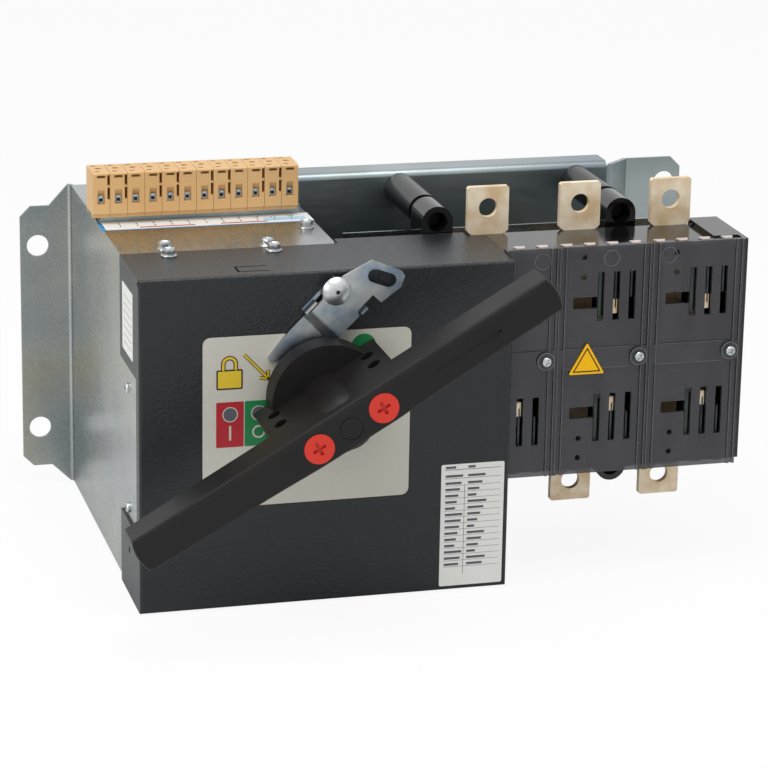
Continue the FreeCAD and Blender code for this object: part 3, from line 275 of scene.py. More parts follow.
# %% Powder coat
powder, tree, shader = begin("dark grey powder coat", "#1f2224", 0.0, 0.34)
shader.inputs["Specular IOR Level"].default_value = 0.36
place = own_place(tree)
dimple_mm = 1.7
dimples = add(tree, "ShaderNodeTexVoronoi", {"Vector": place, "Scale": per_metre(dimple_mm)},
              feature="SMOOTH_F1")
grit = noise(tree, place, per_metre(1.2), 2.0)
height = add(tree, "ShaderNodeMath", {0: dimples.outputs["Distance"], 1: grit}, operation="ADD")
dress(tree, shader, mixed(tree, grit, "#181b1d", "#26292c"),
      relief=(height.outputs["Value"], 0.7, 0.0004))
coat(powder, "front_cover")
print("powder coat dimples", dimple_mm, "mm apart")

# %% [markdown]
# ## Moulded plastics
# The handle is glass-filled nylon, black with a slightly warm tone and a fine spark-eroded grain.
# The switch's moulding is a smoother black thermoset that mirrors what stands on it. The terminal
# blocks are beige polyamide. All are dielectrics, so only their grain and gloss differ: one function
# takes the grain's size and depth.

# %% Plastics


def plastic(name, dark, light, roughness, grain_mm, depth, level=0.5):
    """Moulded plastic with a grain of some size and depth, and a wide faint change of tone."""
    material, tree, shader = begin(name, dark, 0.0, roughness, 1.52)
    shader.inputs["Specular IOR Level"].default_value = level
    place = own_place(tree)
    grain = noise(tree, place, per_metre(grain_mm), 2.0)
    tone = noise(tree, place, per_metre(35), 2.0)
    rough = mapped(tree, tone, roughness * 0.85, roughness * 1.15)
    dress(tree, shader, mixed(tree, tone, dark, light), rough, (grain, depth, 0.0001))
    return material


nylon = plastic("black glass-filled nylon", "#110f0f", "#1a1818", 0.44, 0.7, 0.5, 0.24)
thermoset = plastic("black thermoset moulding", "#0b0b0c", "#121213", 0.12, 8.0, 0.03)
spacer_black = plastic("black nylon tube", "#0e0e0e", "#161616", 0.25, 3.0, 0.1, 0.3)
beige = plastic("beige polyamide", "#d5a76c", "#e2ba84", 0.45, 0.6, 0.15, 0.35)
cap_red = plastic("red moulded cap", "#cc2a1a", "#d83824", 0.38, 0.5, 0.5, 0.35)
coat(nylon, "handle", "contact_shaft")
coat(thermoset, "switch_body")
for start, material in (("spacer_", spacer_black), ("terminal_block_", beige), ("handle_cap_", cap_red)):
    coat(material, *[name for name in nodes if name.startswith(start)])
print("plastic finishes: 5")

# %% [markdown]
# ## Smoked polycarbonate
# The pole covers are polycarbonate with a little carbon in it: dark but clear, so that the contacts
# show faintly behind. Refraction through a thin even wall shifts nothing that matters here, so the
# cover is a glossy dark surface that lets a fixed share of the light straight through.

# %% Smoked covers
smoked, tree, shader = begin("smoked polycarbonate", "#37373c", 0.0, 0.16, 1.58)
shader.inputs["Alpha"].default_value = 0.74
flow = noise(tree, stretched(tree, own_place(tree), (55, 55, 11)), 1.0, 1.0)
dress(tree, shader, mixed(tree, flow, "#232327", "#4a4a51"), mapped(tree, flow, 0.10, 0.24))
coat(smoked, "pole_cover_1", "pole_cover_2", "pole_cover_3")
print("smoked covers let a quarter of the light through")

# %% [markdown]
# ## Brass, zinc and steel
# The terminal bars are rolled copper alloy with a thin tin wash: warm, satin, with short scratches
# along their length. Screws are zinc-plated and bright, the lock slide is blue-passivated with soft
# clouds, and the stud is turned and dull. The long screws sit deep in dark bores and are painted near
# black as painted shade; shafts and gears are plain oiled steel. A metal's tint lies in its base colour.

# %% Metals


def metal(name, dark, light, low, high, lines, cloud_mm=18, share_metal=1.0):
    """Metal with clouds and scratches; low and high bound its roughness."""
    material, tree, shader = begin(name, dark, share_metal, (low + high) / 2)
    place = own_place(tree)
    scratches = noise(tree, stretched(tree, place, lines), 1.0, 4.0)
    clouds = noise(tree, place, per_metre(cloud_mm), 3.0)
    colour = mixed(tree, mapped(tree, clouds, 0.0, 1.0, 0.35, 0.65), dark, light)
    dress(tree, shader, colour, mapped(tree, scratches, low, high), (scratches, 0.12, 0.0001))
    return material


bar_metal = metal("tinned copper alloy", "#e3c69c", "#fbecd2", 0.36, 0.56, (1500, 1500, 60), 14, 0.28)
bright_zinc = metal("bright zinc plate", "#b4bcc3", "#d4d4cf", 0.16, 0.34, (500, 500, 500), 6)
slide_zinc = metal("blue-passivated zinc", "#8497a9", "#bcbfbd", 0.26, 0.42, (300, 1200, 300), 16)
oiled_steel = metal("oiled steel", "#6f7070", "#858583", 0.3, 0.45, (400, 400, 400))
# Painted shade: the long screws sit deep in dark bores, so this steel is painted near black.
bore_shade_steel = metal("blackened steel", "#1b1b1c", "#262627", 0.35, 0.5, (400, 400, 400))
turned_zinc = metal("turned zinc", "#aab0b5", "#c8c9c6", 0.34, 0.46, (700, 700, 700), 5)
finish_of = {"zinc_steel": bright_zinc, "dark_steel": oiled_steel, "copper_bar": bar_metal}
for part in frame["record"]["subparts"]:
    if part["material_slot"] in finish_of:
        coat(finish_of[part["material_slot"]], part["node"])
coat(slide_zinc, "lock_slide", "lock_guide")
coat(bore_shade_steel, "long_screw_1", "long_screw_2", "long_screw_3", "long_screw_4")
coat(turned_zinc, "guide_stud")
print("metal finishes: 6")

# %% [markdown]
# ## Printing inks and films
# Labels are polyester film with flat inks, slightly glossier than paper. Each ink gets a faint
# unevenness, as screen printing leaves it. Two duller colours are painted shade in narrow recesses.

# %% Inks


def ink(name, colour, second, roughness=0.45):
    """Flat ink or film between two nearly equal tones."""
    material, tree, shader = begin(name, colour, 0.0, roughness)
    shader.inputs["Specular IOR Level"].default_value = 0.25
    mottle = noise(tree, own_place(tree), per_metre(3), 3.0)
    dress(tree, shader, mixed(tree, mottle, colour, second))
    return material


film_white = ink("white polyester film", "#e6e6e2", "#ecece8")
film_cream = ink("cream polyester film", "#c3c1b6", "#c9c7bc")
ink_yellow = ink("yellow ink", "#d9b92f", "#dfc03a")
ink_orange = ink("warning yellow ink", "#f8b800", "#ffc400")
# Black ink is print on the labels; it is also painted shade behind the terminal cages, in the stud's hole
# and in the grip's groove.
black_ink_and_shade = ink("black ink", "#26231f", "#2c2925")
ink_red = ink("red ink", "#a8272f", "#b02d35")
ink_green = ink("green ink", "#1f7a44", "#25834b")
ink_blue = ink("blue ink", "#2f8fd0", "#3a98d6")
ink_sky = ink("light blue ink", "#a9cfe6", "#b2d5ea")
ink_grey = ink("dark grey ink", "#55555a", "#606066")
# Painted shade: two dull dark colours for the bottoms of narrow recesses.
beige_recess_shade = ink("shaded beige recess", "#5b4026", "#6b4d30", 0.7)
red_recess_shade = ink("shaded red recess", "#4a130d", "#5a1a12", 0.7)
print("inks: 12")

# %% [markdown]
# ## Shaping helpers
# Every new piece starts as a primitive whose place is applied at once, so its mesh is already in
# the object's own frame and the edit tools work in real sizes. Faces and edges are then picked by
# their place and direction, as one would click them by hand.

# %% Primitives and edit tools


def only(piece):
    """Selects one piece and nothing else."""
    bpy.ops.object.select_all(action="DESELECT")
    piece.select_set(True)
    bpy.context.view_layer.objects.active = piece


def begun(name):
    """Names the new primitive and moves its place into its mesh."""
    piece = bpy.context.object
    piece.name = piece.data.name = name
    bpy.ops.object.transform_apply(location=True, rotation=True, scale=True)
    return piece


def block(name, low, high):
    """A cuboid between two corners in millimetres."""
    bpy.ops.object.select_all(action="DESELECT")
    low, high = Vector(low) * MM, Vector(high) * MM
    bpy.ops.mesh.primitive_cube_add(size=1, location=(low + high) / 2, scale=high - low)
    return begun(name)


def bar_round(name, centre, radius, length, axis="Y", sides=32, spin=0.0):
    """A cylinder, or with few sides a prism, centred on a point in millimetres."""
    turned = {"X": (0, math.pi / 2, 0), "Y": (math.pi / 2, 0, 0), "Z": (0, 0, 0)}[axis]
    bpy.ops.object.select_all(action="DESELECT")
    bpy.ops.mesh.primitive_cylinder_add(vertices=sides, radius=radius * MM, depth=length * MM,
                                        location=Vector(centre) * MM, rotation=turned)
    piece = begun(name)
    if spin:
        swing(piece, spin, centre, axis)
    return piece


def swing(piece, angle, centre, axis="Y"):
    """Turns a piece by degrees about an axis through a point in millimetres."""
    only(piece)
    centre = Vector(centre) * MM
    around = Matrix.Rotation(math.radians(angle), 4, axis)
    piece.matrix_world = Matrix.Translation(centre) @ around @ Matrix.Translation(-centre)
    bpy.ops.object.transform_apply(location=True, rotation=True, scale=True)


def pick(piece, test, kind="FACE"):
    """Enters edit mode with the faces or edges that pass a test on place (mm) and direction."""
    only(piece)
    bpy.ops.object.mode_set(mode="EDIT")
    bpy.ops.mesh.select_mode(type=kind)
    bpy.ops.mesh.select_all(action="DESELECT")
    bpy.ops.object.mode_set(mode="OBJECT")
    mesh = piece.data
    if kind == "FACE":
        for face in mesh.polygons:
            face.select = bool(test(face.center / MM, face.normal))
    else:
        for edge in mesh.edges:
            a, b = (mesh.vertices[i].co for i in edge.vertices)
            edge.select = bool(test((a + b) / 2 / MM, (b - a).normalized()))
    bpy.ops.object.mode_set(mode="EDIT")


def done():
    bpy.ops.object.mode_set(mode="OBJECT")


def soften(piece, width, steps=2):
    """Rounds all sharp edges with a bevel, applied."""
    bevel = piece.modifiers.new("rounding", "BEVEL")
    bevel.width = width * MM
    bevel.segments = steps
    bevel.limit_method = "ANGLE"
    bpy.context.view_layer.objects.active = piece
    bpy.ops.object.modifier_apply(modifier=bevel.name)


def take_away(piece, cutter):
    """Cuts the cutter's shape out of the piece and deletes the cutter."""
    recess = piece.modifiers.new("recess", "BOOLEAN")
    recess.operation = "DIFFERENCE"
    recess.solver = "EXACT"
    recess.object = cutter
    only(piece)
    bpy.ops.object.modifier_apply(modifier=recess.name)
    bpy.data.objects.remove(cutter)


def joined(name, parts):
    """Several meshes as one piece."""
    bpy.ops.object.select_all(action="DESELECT")
    for part in parts:
        part.select_set(True)
    bpy.context.view_layer.objects.active = parts[0]
    bpy.ops.object.join()
    parts[0].name = parts[0].data.name = name
    return parts[0]


def twin(piece, name, shift):
    """A copy with a mesh of its own, shifted in millimetres."""
    copy = piece.copy()
    copy.data = piece.data.copy()
    copy.name = copy.data.name = name
    bpy.context.scene.collection.objects.link(copy)
    only(copy)
    copy.location = Vector(shift) * MM
    bpy.ops.object.transform_apply(location=True, rotation=True, scale=True)
    return copy


def settle(piece, material, body="chassis", angle=35):
    """Smooths a finished piece, gives it its finish and lets it ride with a body."""
    only(piece)
    bpy.ops.object.shade_smooth_by_angle(angle=math.radians(angle))
    piece.data.materials.clear()
    piece.data.materials.append(material)
    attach(piece, body)
    return piece


print("helpers ready")

# %% [markdown]
# ## Flanged hexagon screws
# Five thread-forming screws hold the cover and the drive. Each has a hexagon head on a round flange
# in one piece, with a shallow dish in the top. The hexagon is a six-sided prism whose top face is
# inset and pushed down, the flange is a disc with rounded edges, and copies stand at each place.

# %% Hexagon screws
flange = bar_round("screw_flange", (0, 0, 0.6), 5.4, 1.2, "Z", 40)
soften(flange, 0.35)
head = bar_round("screw_head", (0, 0, 3.2), 4.4, 4.4, "Z", 6)
pick(head, lambda at, way: way.z > 0.9)
bpy.ops.mesh.inset(thickness=0.9 * MM, depth=0)
bpy.ops.mesh.inset(thickness=0.5 * MM, depth=-0.9 * MM)
done()
soften(head, 0.3)
hexagon = joined("hex_screw", [flange, head])
places = [(55.0, -192.0, plate_top), (53.0, -215.4, lip_top), (123.0, -197.0, plate_top),
          (123.0, -215.4, lip_top), (159.6, -154.7, plate_top)]
for number, place in enumerate(places, 1):
    screw = twin(hexagon, "hex_screw_%d" % number, place)
    swing(screw, 17.0 * number, place, "Z")
    settle(screw, bright_zinc)
bpy.data.objects.remove(hexagon)
print("hexagon screws:", len(places))

# %% [markdown]
# ## Cross-recessed screws
# Pan-head screws hold each smoked pole cover, and two more sit on the housing's left side beside
# the front cover. A pan head is a low disc with a wide round edge and a cross cut into its middle.
# The disc's front edge takes a bevel, and two thin blocks are cut out of it. The master faces the
# front, and a turned copy serves the side.

# %% Pan-head screws


def pan_head(name, radius, height):
    """A pan-head screw at the origin that faces the front."""
    dome = bar_round(name, (0, -height / 2, 0), radius, height, "Y", 40)
    pick(dome, lambda at, way: way.y < -0.9)
    bpy.ops.mesh.bevel(offset=height * 0.55 * MM, segments=4)
    done()
    for wide, high in ((0.62, 0.15), (0.15, 0.62)):
        cross = block("cross", (-radius * wide, -height - 1, -radius * high),
                      (radius * wide, -height * 0.35, radius * high))
        take_away(dome, cross)
    return dome


pan = pan_head("pan_screw", 3.4, 2.4)
for number, pole in enumerate(poles, 1):
    at = (pole + screw_aside, smoked_low.y - 0.2, middle_z)
    screw = twin(pan, "pole_screw_%d" % number, at)
    swing(screw, 20.0 * number, at)
    settle(screw, bright_zinc)
for number, height in enumerate((29.2, -53.5), 1):
    screw = twin(pan, "side_screw_%d" % number, (0, 0, 0))
    swing(screw, -90, (0, 0, 0), "Z")
    screw = twin(screw, "side_screw_left_%d" % number, (lip_x + 1.7, face_y + 45.5, height))
    settle(screw, bright_zinc)
    bpy.data.objects.remove(bpy.data.objects["side_screw_%d" % number])
bpy.data.objects.remove(pan)
print("pan-head screws: 5")

# %% [markdown]
# ## Clamps and clamping screws of the terminals
# Each terminal shows a plated cage in its wire funnel and a slotted screw at the bottom of a shaft
# in its top. The cage is a small frame: a block with a window cut through and a tongue leaning in.
# Thin dark plates are painted shade behind the cage, in the notch for a label and in the mouths of
# the probe holes. One of each is made and copied to all twelve blocks, from the blocks' own boxes.

# %% Terminal clamps
cage = block("cage", (-2.0, -0.9, 0.0), (2.0, 0.0, 5.2))
take_away(cage, block("window", (-1.2, -1.5, 0.9), (1.2, 1.0, 3.4)))
tongue = block("tongue", (-1.3, -1.7, 3.3), (1.3, -0.5, 4.5))
soften(tongue, 0.25)
cage = joined("cage", [cage, tongue])
slotted = bar_round("slotted", (0, 0, 1.2), 2.05, 2.4, "Z", 28)
soften(slotted, 0.3)
take_away(slotted, block("slot", (-3, -0.35, 1.5), (3, 0.35, 4)))
# Painted shade: a dark plate behind each cage.
shade = block("shade", (-2.1, 0.0, 0.0), (2.1, 0.1, 5.4))
# Painted shade: a dark plate in the label notch of each block.
notch = block("notch", (-2.7, 0.0, 0.0), (2.7, 0.1, 1.5))
pick(notch, lambda at, way: at.z > 1 and abs(way.y) > 0.9, "EDGE")
bpy.ops.mesh.bevel(offset=1.1 * MM, segments=4)
done()
# Painted shade: dark plates in the mouths of the probe holes.
mouth = block("mouth", (-1.7, -0.7, 0.0), (1.7, 0.7, 0.08))
for number in range(1, 13):
    low, high = corners("terminal_block_%02d" % number)
    middle = (low.x + high.x) / 2
    clamp = twin(cage, "clamp_%02d" % number, (middle, low.y + 3.3, low.z + 10.6))
    settle(twin(shade, "clamp_shade_%02d" % number, (middle, low.y + 3.3, low.z + 10.4)), black_ink_and_shade)
    settle(twin(notch, "label_notch_%02d" % number, (middle, low.y + 0.45, high.z - 3.7)), beige_recess_shade)
    for place, forward in (("front", 3.4), ("back", 20.5)):
        hole = twin(mouth, "probe_%s_%02d" % (place, number),
                    (middle - 2.2, low.y + forward, high.z - 0.02))
        settle(hole, beige_recess_shade)
    settle(clamp, bright_zinc)
    driver = twin(slotted, "clamp_screw_%02d" % number, (middle, (low.y + high.y) / 2, high.z - 5.9))
    swing(driver, 23.0 * number, (middle, (low.y + high.y) / 2, 0), "Z")
    settle(driver, bright_zinc)
for master in (cage, slotted, shade, notch, mouth):
    bpy.data.objects.remove(master)
print("terminals fitted: 12")

# %% [markdown]
# ## Films and printed shapes
# A film is a plate a fifth of a millimetre thick. Its outline comes from a block whose four short
# edges are bevelled round. Printed shapes lie on it as still thinner plates, each as a separate
# piece with its own ink, which keeps every edge of the print sharp.

# %% Film helper


def film(name, low, high, material, corner=0.0, across="Y", body="chassis"):
    """A thin plate with rounded corners; across is the direction of its thickness."""
    plate = block(name, low, high)
    if corner:
        number = "XYZ".index(across)
        pick(plate, lambda at, way: abs(way[number]) > 0.9, "EDGE")
        bpy.ops.mesh.bevel(offset=corner * MM, segments=6)
        done()
    return settle(plate, material, body)


def ring(name, centre, outer, inner, thick, material, body="chassis"):
    """A flat ring that faces the front."""
    disc = bar_round(name, centre, outer, thick, "Y", 48)
    take_away(disc, bar_round("middle", centre, inner, thick + 2, "Y", 48))
    return settle(disc, material, body)


def lettering(name, text, size, place, turned, material, thick=0.1):
    """A number as a thin raised print."""
    bpy.ops.object.select_all(action="DESELECT")
    bpy.ops.object.text_add(location=Vector(place) * MM, rotation=turned)
    words = bpy.context.object
    words.data.body = text
    words.data.size = size * MM
    words.data.align_x = "CENTER"
    words.data.align_y = "CENTER"
    words.data.extrude = thick / 2 * MM
    words.data.resolution_u = 3
    bpy.ops.object.convert(target="MESH")
    piece = begun(name)
    return settle(piece, material)


on_face = face_y - 0.2
print("films lie", round(face_y - on_face, 2), "mm proud of the cover")

# %% [markdown]
# ## Face plate
# The cream plate behind the handle shows how the switch is worked: a padlock and an arrow to the
# slide, a red square with the closed mark and a green one with the open mark, and the tip of a
# green spot that the handle's disc mostly hides. The padlock is a block with a ring cut in half as
# its shackle, each outlined by a slightly larger dark shape. Dark shapes make the first layer of
# print, and yellow ones the second.

# %% Cream plate with its marks
film("face_plate", (63.6, on_face, -42.0), (202.0, face_y, 73.5), film_cream, 5.0)
film("face_plate_frame", (62.9, on_face + 0.05, -42.7), (202.7, face_y, 74.2), black_ink_and_shade, 5.5)
first_y, second_y = on_face - 0.1, on_face - 0.2
film("lock_shadow", (72.6, first_y, 38.2), (89.9, on_face, 51.5), black_ink_and_shade, 1.0)
film("lock_body", (73.6, second_y, 39.2), (88.9, on_face, 50.5), ink_yellow, 0.6)
shackle_x, shackle_z = 81.2, 55.2
for name, radius, inner, level_y, material in (("shackle_shadow", 5.6, 2.6, first_y, black_ink_and_shade),
                                               ("shackle", 4.9, 3.3, second_y, ink_yellow)):
    bow = bar_round(name, (shackle_x, (level_y + on_face) / 2, shackle_z), radius,
                    on_face - level_y, "Y", 48)
    take_away(bow, bar_round("inside", (shackle_x, on_face, shackle_z), inner, 3, "Y", 48))
    take_away(bow, block("lower_half", (70, on_face - 2, 40), (92, on_face + 2, shackle_z)))
    away, half = (radius + inner) / 2, (radius - inner) / 2
    legs = [block("leg", (shackle_x + s * away - half, level_y, 51.0),
                  (shackle_x + s * away + half, on_face, 55.3)) for s in (-1, 1)]
    settle(joined(name, [bow] + legs), material)
length, reach = 23.5, 6.0
for name, wide, level_y, material in (("arrow_shadow", 2.3, first_y, black_ink_and_shade),
                                      ("arrow", 1.3, second_y, ink_yellow)):
    shaft = block(name, (0, level_y, -wide / 2), (length, on_face, wide / 2))
    barbs = []
    for s in (-1, 1):
        barb = block("barb", (length - reach, level_y, -wide / 2), (length + wide / 2, on_face, wide / 2))
        swing(barb, s * 38, (length, 0, 0))
        barbs.append(barb)
    arrow = joined(name, [shaft] + barbs)
    swing(arrow, 46.4, (0, 0, 0))
    arrow = twin(arrow, name + "_print", (90.7, 0, 61.0))
    bpy.data.objects.remove(bpy.data.objects[name])
    settle(arrow, material)
film("red_square", (72.5, first_y, -0.9), (90.7, on_face, 29.7), ink_red, 0.8)
film("green_square", (91.3, first_y, -0.9), (109.7, on_face, 29.7), ink_green, 0.8)
for name, middle in (("red_square", 81.7), ("green_square", 100.6)):
    ring(name + "_ring", (middle, first_y - 0.05, 21.2), 5.1, 4.5, 0.1, film_cream)
    spot = bar_round(name + "_spot", (middle, first_y - 0.05, 21.2), 4.5, 0.1, "Y", 48)
    settle(spot, ink_grey)
film("closed_mark", (81.0, second_y, 3.7), (82.4, first_y, 13.5), film_cream)
ring("open_mark", (100.6, first_y - 0.05, 8.6), 4.4, 3.2, 0.1, film_cream)
tip = bar_round("green_tip", (170.0, (first_y + on_face) / 2, 62.2), 8.3, on_face - first_y, "Y", 48)
settle(tip, ink_green)
print("face plate marks done")

# %% [markdown]
# ## Warning triangle, data label, side label
# The sticker on the middle pole is a plain yellow triangle with a dark line inside its edge. It is
# a three-sided prism, and its line is a smaller prism with a third one cut out. Of the two white
# labels, the side one is only ruled, and the data label also has short dashes in two columns where
# entries stand. Neither says anything.

# %% Triangle and labels
stick_y = smoked_low.y + 1.4
size = 14.4
centre = (327.0, stick_y - 0.45, 36.8)
sticker = bar_round("triangle", centre, size, 0.9, "Y", 3)
pick(sticker, lambda at, way: abs(way.y) > 0.9, "EDGE")
bpy.ops.mesh.bevel(offset=1.2 * MM, segments=4)
done()
settle(sticker, ink_orange)
line = bar_round("triangle_line", (centre[0], stick_y - 0.95, centre[2]), size - 3.0, 0.1, "Y", 3)
take_away(line, bar_round("inner", (centre[0], stick_y - 0.95, centre[2]), size - 4.6, 1, "Y", 3))
settle(line, black_ink_and_shade)
film("data_label", (224.5, on_face, -109.0), (268.0, face_y, -23.5), film_white, 1.2)
rows = [(-27.5, 0.35), (-33.5, 0.25)] + [(-38.5 - 4.4 * n, 0.2) for n in range(14)]
for number, (height, thick) in enumerate(rows):
    film("data_rule_%02d" % number, (227.0, on_face - 0.05, height), (265.5, on_face, height + thick),
         ink_grey)
    for place, (start, long) in enumerate(((227.5, 7 + number * 5 % 6), (243.0, 5 + number * 7 % 9))):
        film("data_entry_%02d_%d" % (number, place), (start, on_face - 0.05, height + 1.0),
             (start + long, on_face, height + 2.6), ink_grey)
film("data_column", (240.6, on_face - 0.05, -101.0), (240.9, on_face, -38.0), ink_grey)
film("side_label", (lip_x - 0.2, -251.0, 54.0), (lip_x, -215.0, 99.0), film_white, 1.0, "X")
for number in range(7):
    height = 60.0 + number * 5.2
    film("side_rule_%d" % number, (lip_x - 0.25, -247.0, height), (lip_x - 0.2, -221.0, height + 0.3),
         black_ink_and_shade, across="X")
print("label rules:", len(rows))

# %% [markdown]
# ## Numbered strip in front of the terminals
# A white strip with a blue edge lies on the housing in front of the blocks and numbers them from 1
# to 12, with a tick to each number, two red bars under groups of terminals and a light blue patch.
# The numbers are text turned flat and made solid, and their place is applied only then, because a
# text object's own place can only be applied once it is a mesh.

# %% Terminal numbers
first_low = corners("terminal_block_01")[0]
last_high = corners("terminal_block_12")[1]
edge_y = first_low.y - 15.0
rear_y = first_low.y + 7.7
film("strip_edge", (first_low.x + 3.6, edge_y, plate_top),
     (last_high.x + 8.0, rear_y, plate_top + 0.1), ink_blue, across="Z")
film("strip", (first_low.x + 6.4, edge_y + 0.9, plate_top),
     (last_high.x + 8.0, rear_y, plate_top + 0.2), film_white, across="Z")
film("strip_patch", (last_high.x - 26.0, edge_y + 5.0, plate_top),
     (last_high.x + 4.0, edge_y + 13.0, plate_top + 0.25), ink_sky, across="Z")
for number in range(1, 13):
    low, high = corners("terminal_block_%02d" % number)
    middle = (low.x + high.x) / 2
    lettering("number_%02d" % number, str(number), 4.2, (middle, edge_y + 15.5, plate_top + 0.25),
              (0, 0, 0), black_ink_and_shade)
    film("tick_%02d" % number, (middle - 0.3, edge_y + 7.4, plate_top),
         (middle + 0.3, edge_y + 11.6, plate_top + 0.27), black_ink_and_shade, across="Z")
for number, (start, end) in enumerate(((30.0, 68.0), (86.0, 118.0))):
    film("group_bar_%d" % number, (first_low.x + start, edge_y + 3.4, plate_top),
         (first_low.x + end, edge_y + 5.4, plate_top + 0.27), ink_red, across="Z")
print("numbers 1 to 12 printed")

# %% [markdown]
# ## Clips and raised rings of the pole covers
# Each smoked cover snaps over the moulding with four hooks above and four below. Their pale colour
# is a painted highlight where the clear plastic catches the light. The moulding tool's ejector pins
# left a faint raised ring on each cover's face, and the round boss of each screw has a rim; both are
# a lighter grey, a painted highlight. A hook is a small block whose outer end is narrowed, and rings
# are thin discs with their middle cut away. Narrow lighter films are painted highlights on the edges
# of the covers' ribs and of the band across their middle.

# %% Hooks, rings and edges
# Painted highlight: a lighter grey for raised rings, boss rims and rib and band edges.
edges_painted_highlight = plastic("raised edge of smoked polycarbonate", "#57575d", "#6c6c72", 0.2, 4.0, 0.02)
cover_face = smoked_low.y + 2.4
# Painted highlight: a pale pink-white for the hooks where the clear plastic catches the light.
hooks_painted_glint = plastic("light catching edge of polycarbonate", "#b9a8a3", "#d6c8c3", 0.22, 4.0, 0.02)
hook = block("hook", (-4.2, 0.0, 0.0), (4.2, 5.0, 1.3))
pick(hook, lambda at, way: way.y < -0.9)
bpy.ops.transform.resize(value=(0.62, 1, 0.7))
done()
soften(hook, 0.3)
top_z = smoked_high.z - 1.9
low_z = smoked_low.z - 0.3
back_y = smoked_high.y - 5.6
count = 0
for number, pole in enumerate(poles, 1):
    for step in (-24, -8, 8, 24):
        if pole + step - 5 > cover_high.x + 1:
            count += 1
            clip = twin(hook, "hook_top_%02d" % count, (pole + step, back_y, top_z))
            settle(clip, hooks_painted_glint)
        low_clip = twin(hook, "hook_low_%d_%d" % (number, step + 24), (pole + step, back_y, low_z))
        settle(low_clip, hooks_painted_glint)
bpy.data.objects.remove(hook)
for number, (pole, aside) in enumerate(zip(poles, (21.0, 4.0, -20.6)), 1):
    ring("ejector_ring_%d" % number, (pole + aside, cover_face - 0.1, 108.5), 5.6, 5.2, 0.2, edges_painted_highlight)
    ring("boss_ring_%d" % number, (pole + screw_aside, smoked_low.y - 0.02, middle_z), 6.1, 5.5,
         0.2, edges_painted_highlight)
    for height in (33.2, 47.2):
        if number > 1:
            film("band_edge_%d_%d" % (number, height), (pole - 26.3, cover_face - 0.95, height - 0.15),
                 (pole + 18.4, cover_face - 0.75, height + 0.15), edges_painted_highlight)
    for side in (-32.3, -28.1, 26.5, 30.7):
        if number > 1 or side > 0:
            film("rib_edge_%d_%d" % (number, side + 33),
                 (pole + side, cover_face - 1.3, smoked_low.z + 0.2),
                 (pole + side + 0.35, cover_face - 1.1, smoked_high.z - 0.4), edges_painted_highlight)
print("hooks on top:", count)

# %% [markdown]
# ## Edges of the arc plates
# Through the slots of the pole covers the front edges of the arc chambers' plates show: a dark
# grey-green sheet behind the first slot, and steel with a brass contact behind the others. They are
# narrow blocks that hang from the chamber's roof or stand on its floor.

# %% Arc plates
splitter = plastic("grey-green arc plate", "#2c3532", "#414c48", 0.4, 3.0, 0.1, 0.4)
dull_steel = metal("dull steel plate", "#3a3d3e", "#55595a", 0.4, 0.6, (400, 400, 400))
near_y, far_y = cover_face + 2.9, cover_face + 7.0
count = 0
for number, pole in enumerate(poles, 1):
    for up in (1, -1):
        outer = middle_z + up * 66.5
        for place, (wide, material) in enumerate(((2.6, splitter), (1.6, dull_steel),
                                                  (1.4, dull_steel))):
            middle = pole - 2.4 + 11.0 * place
            inner = middle_z + up * (26.0 + 7.0 * place)
            plate = block("arc_plate_%d_%d_%d" % (number, up + 1, place),
                          (middle - wide / 2, near_y, min(outer, inner)),
                          (middle + wide / 2, far_y, max(outer, inner)))
            soften(plate, 0.3)
            settle(plate, material)
            count += 1
        contact_z = middle_z + up * 34
        contact = block("contact_edge_%d_%d" % (number, up + 1),
                        (pole + 6.4, near_y, contact_z - 5), (pole + 10.0, far_y, contact_z + 5))
        soften(contact, 0.4)
        settle(contact, bar_metal)
print("arc plates:", count)

# %% [markdown]
# ## Raised marks of the handle
# The grip carries a fine bead along its upper edge and a long thin arrow on its right half, both
# moulded in; a dark line under the bead is painted shade of a groove. Thin dark crosses are painted
# shade at the bottom of the recesses in the red caps. All of them are built level round the pivot,
# then turned with the grip, and ride on the handle. A dark disc is painted shade in the stud's hole.

# %% Bead, painted shade of the groove, cap crosses and stud hole, and arrow
grip_y = corners("handle")[0].y
floor_y = grip_y + 1.95
bead = bar_round("grip_bead", (pivot.x, grip_y + 0.15, pivot.z + 12.6), 0.55, 296, "X", 12)
soften(bead, 0.2, 1)
swing(bead, grip_angle, pivot)
settle(bead, nylon, "handle_assembly")
# Painted shade: dark crosses at the bottom of the red caps' recesses.
for side in (-1, 1):
    for wide, high in ((4.3, 1.0), (1.0, 4.3)):
        cap_x = pivot.x + side * cap_aside
        cross = block("cap_cross", (cap_x - wide, floor_y - 0.1, pivot.z - high),
                      (cap_x + wide, floor_y, pivot.z + high))
        swing(cross, grip_angle, pivot)
        settle(cross, red_recess_shade, "handle_assembly")
stud_low, stud_high = corners("guide_stud")
centre = ((stud_low.x + stud_high.x) / 2, stud_low.y + 1.2, (stud_low.z + stud_high.z) / 2)
# Painted shade: a dark disc in the stud's centre hole.
settle(bar_round("stud_hole", centre, 1.3, 0.3, "Y", 24), black_ink_and_shade)
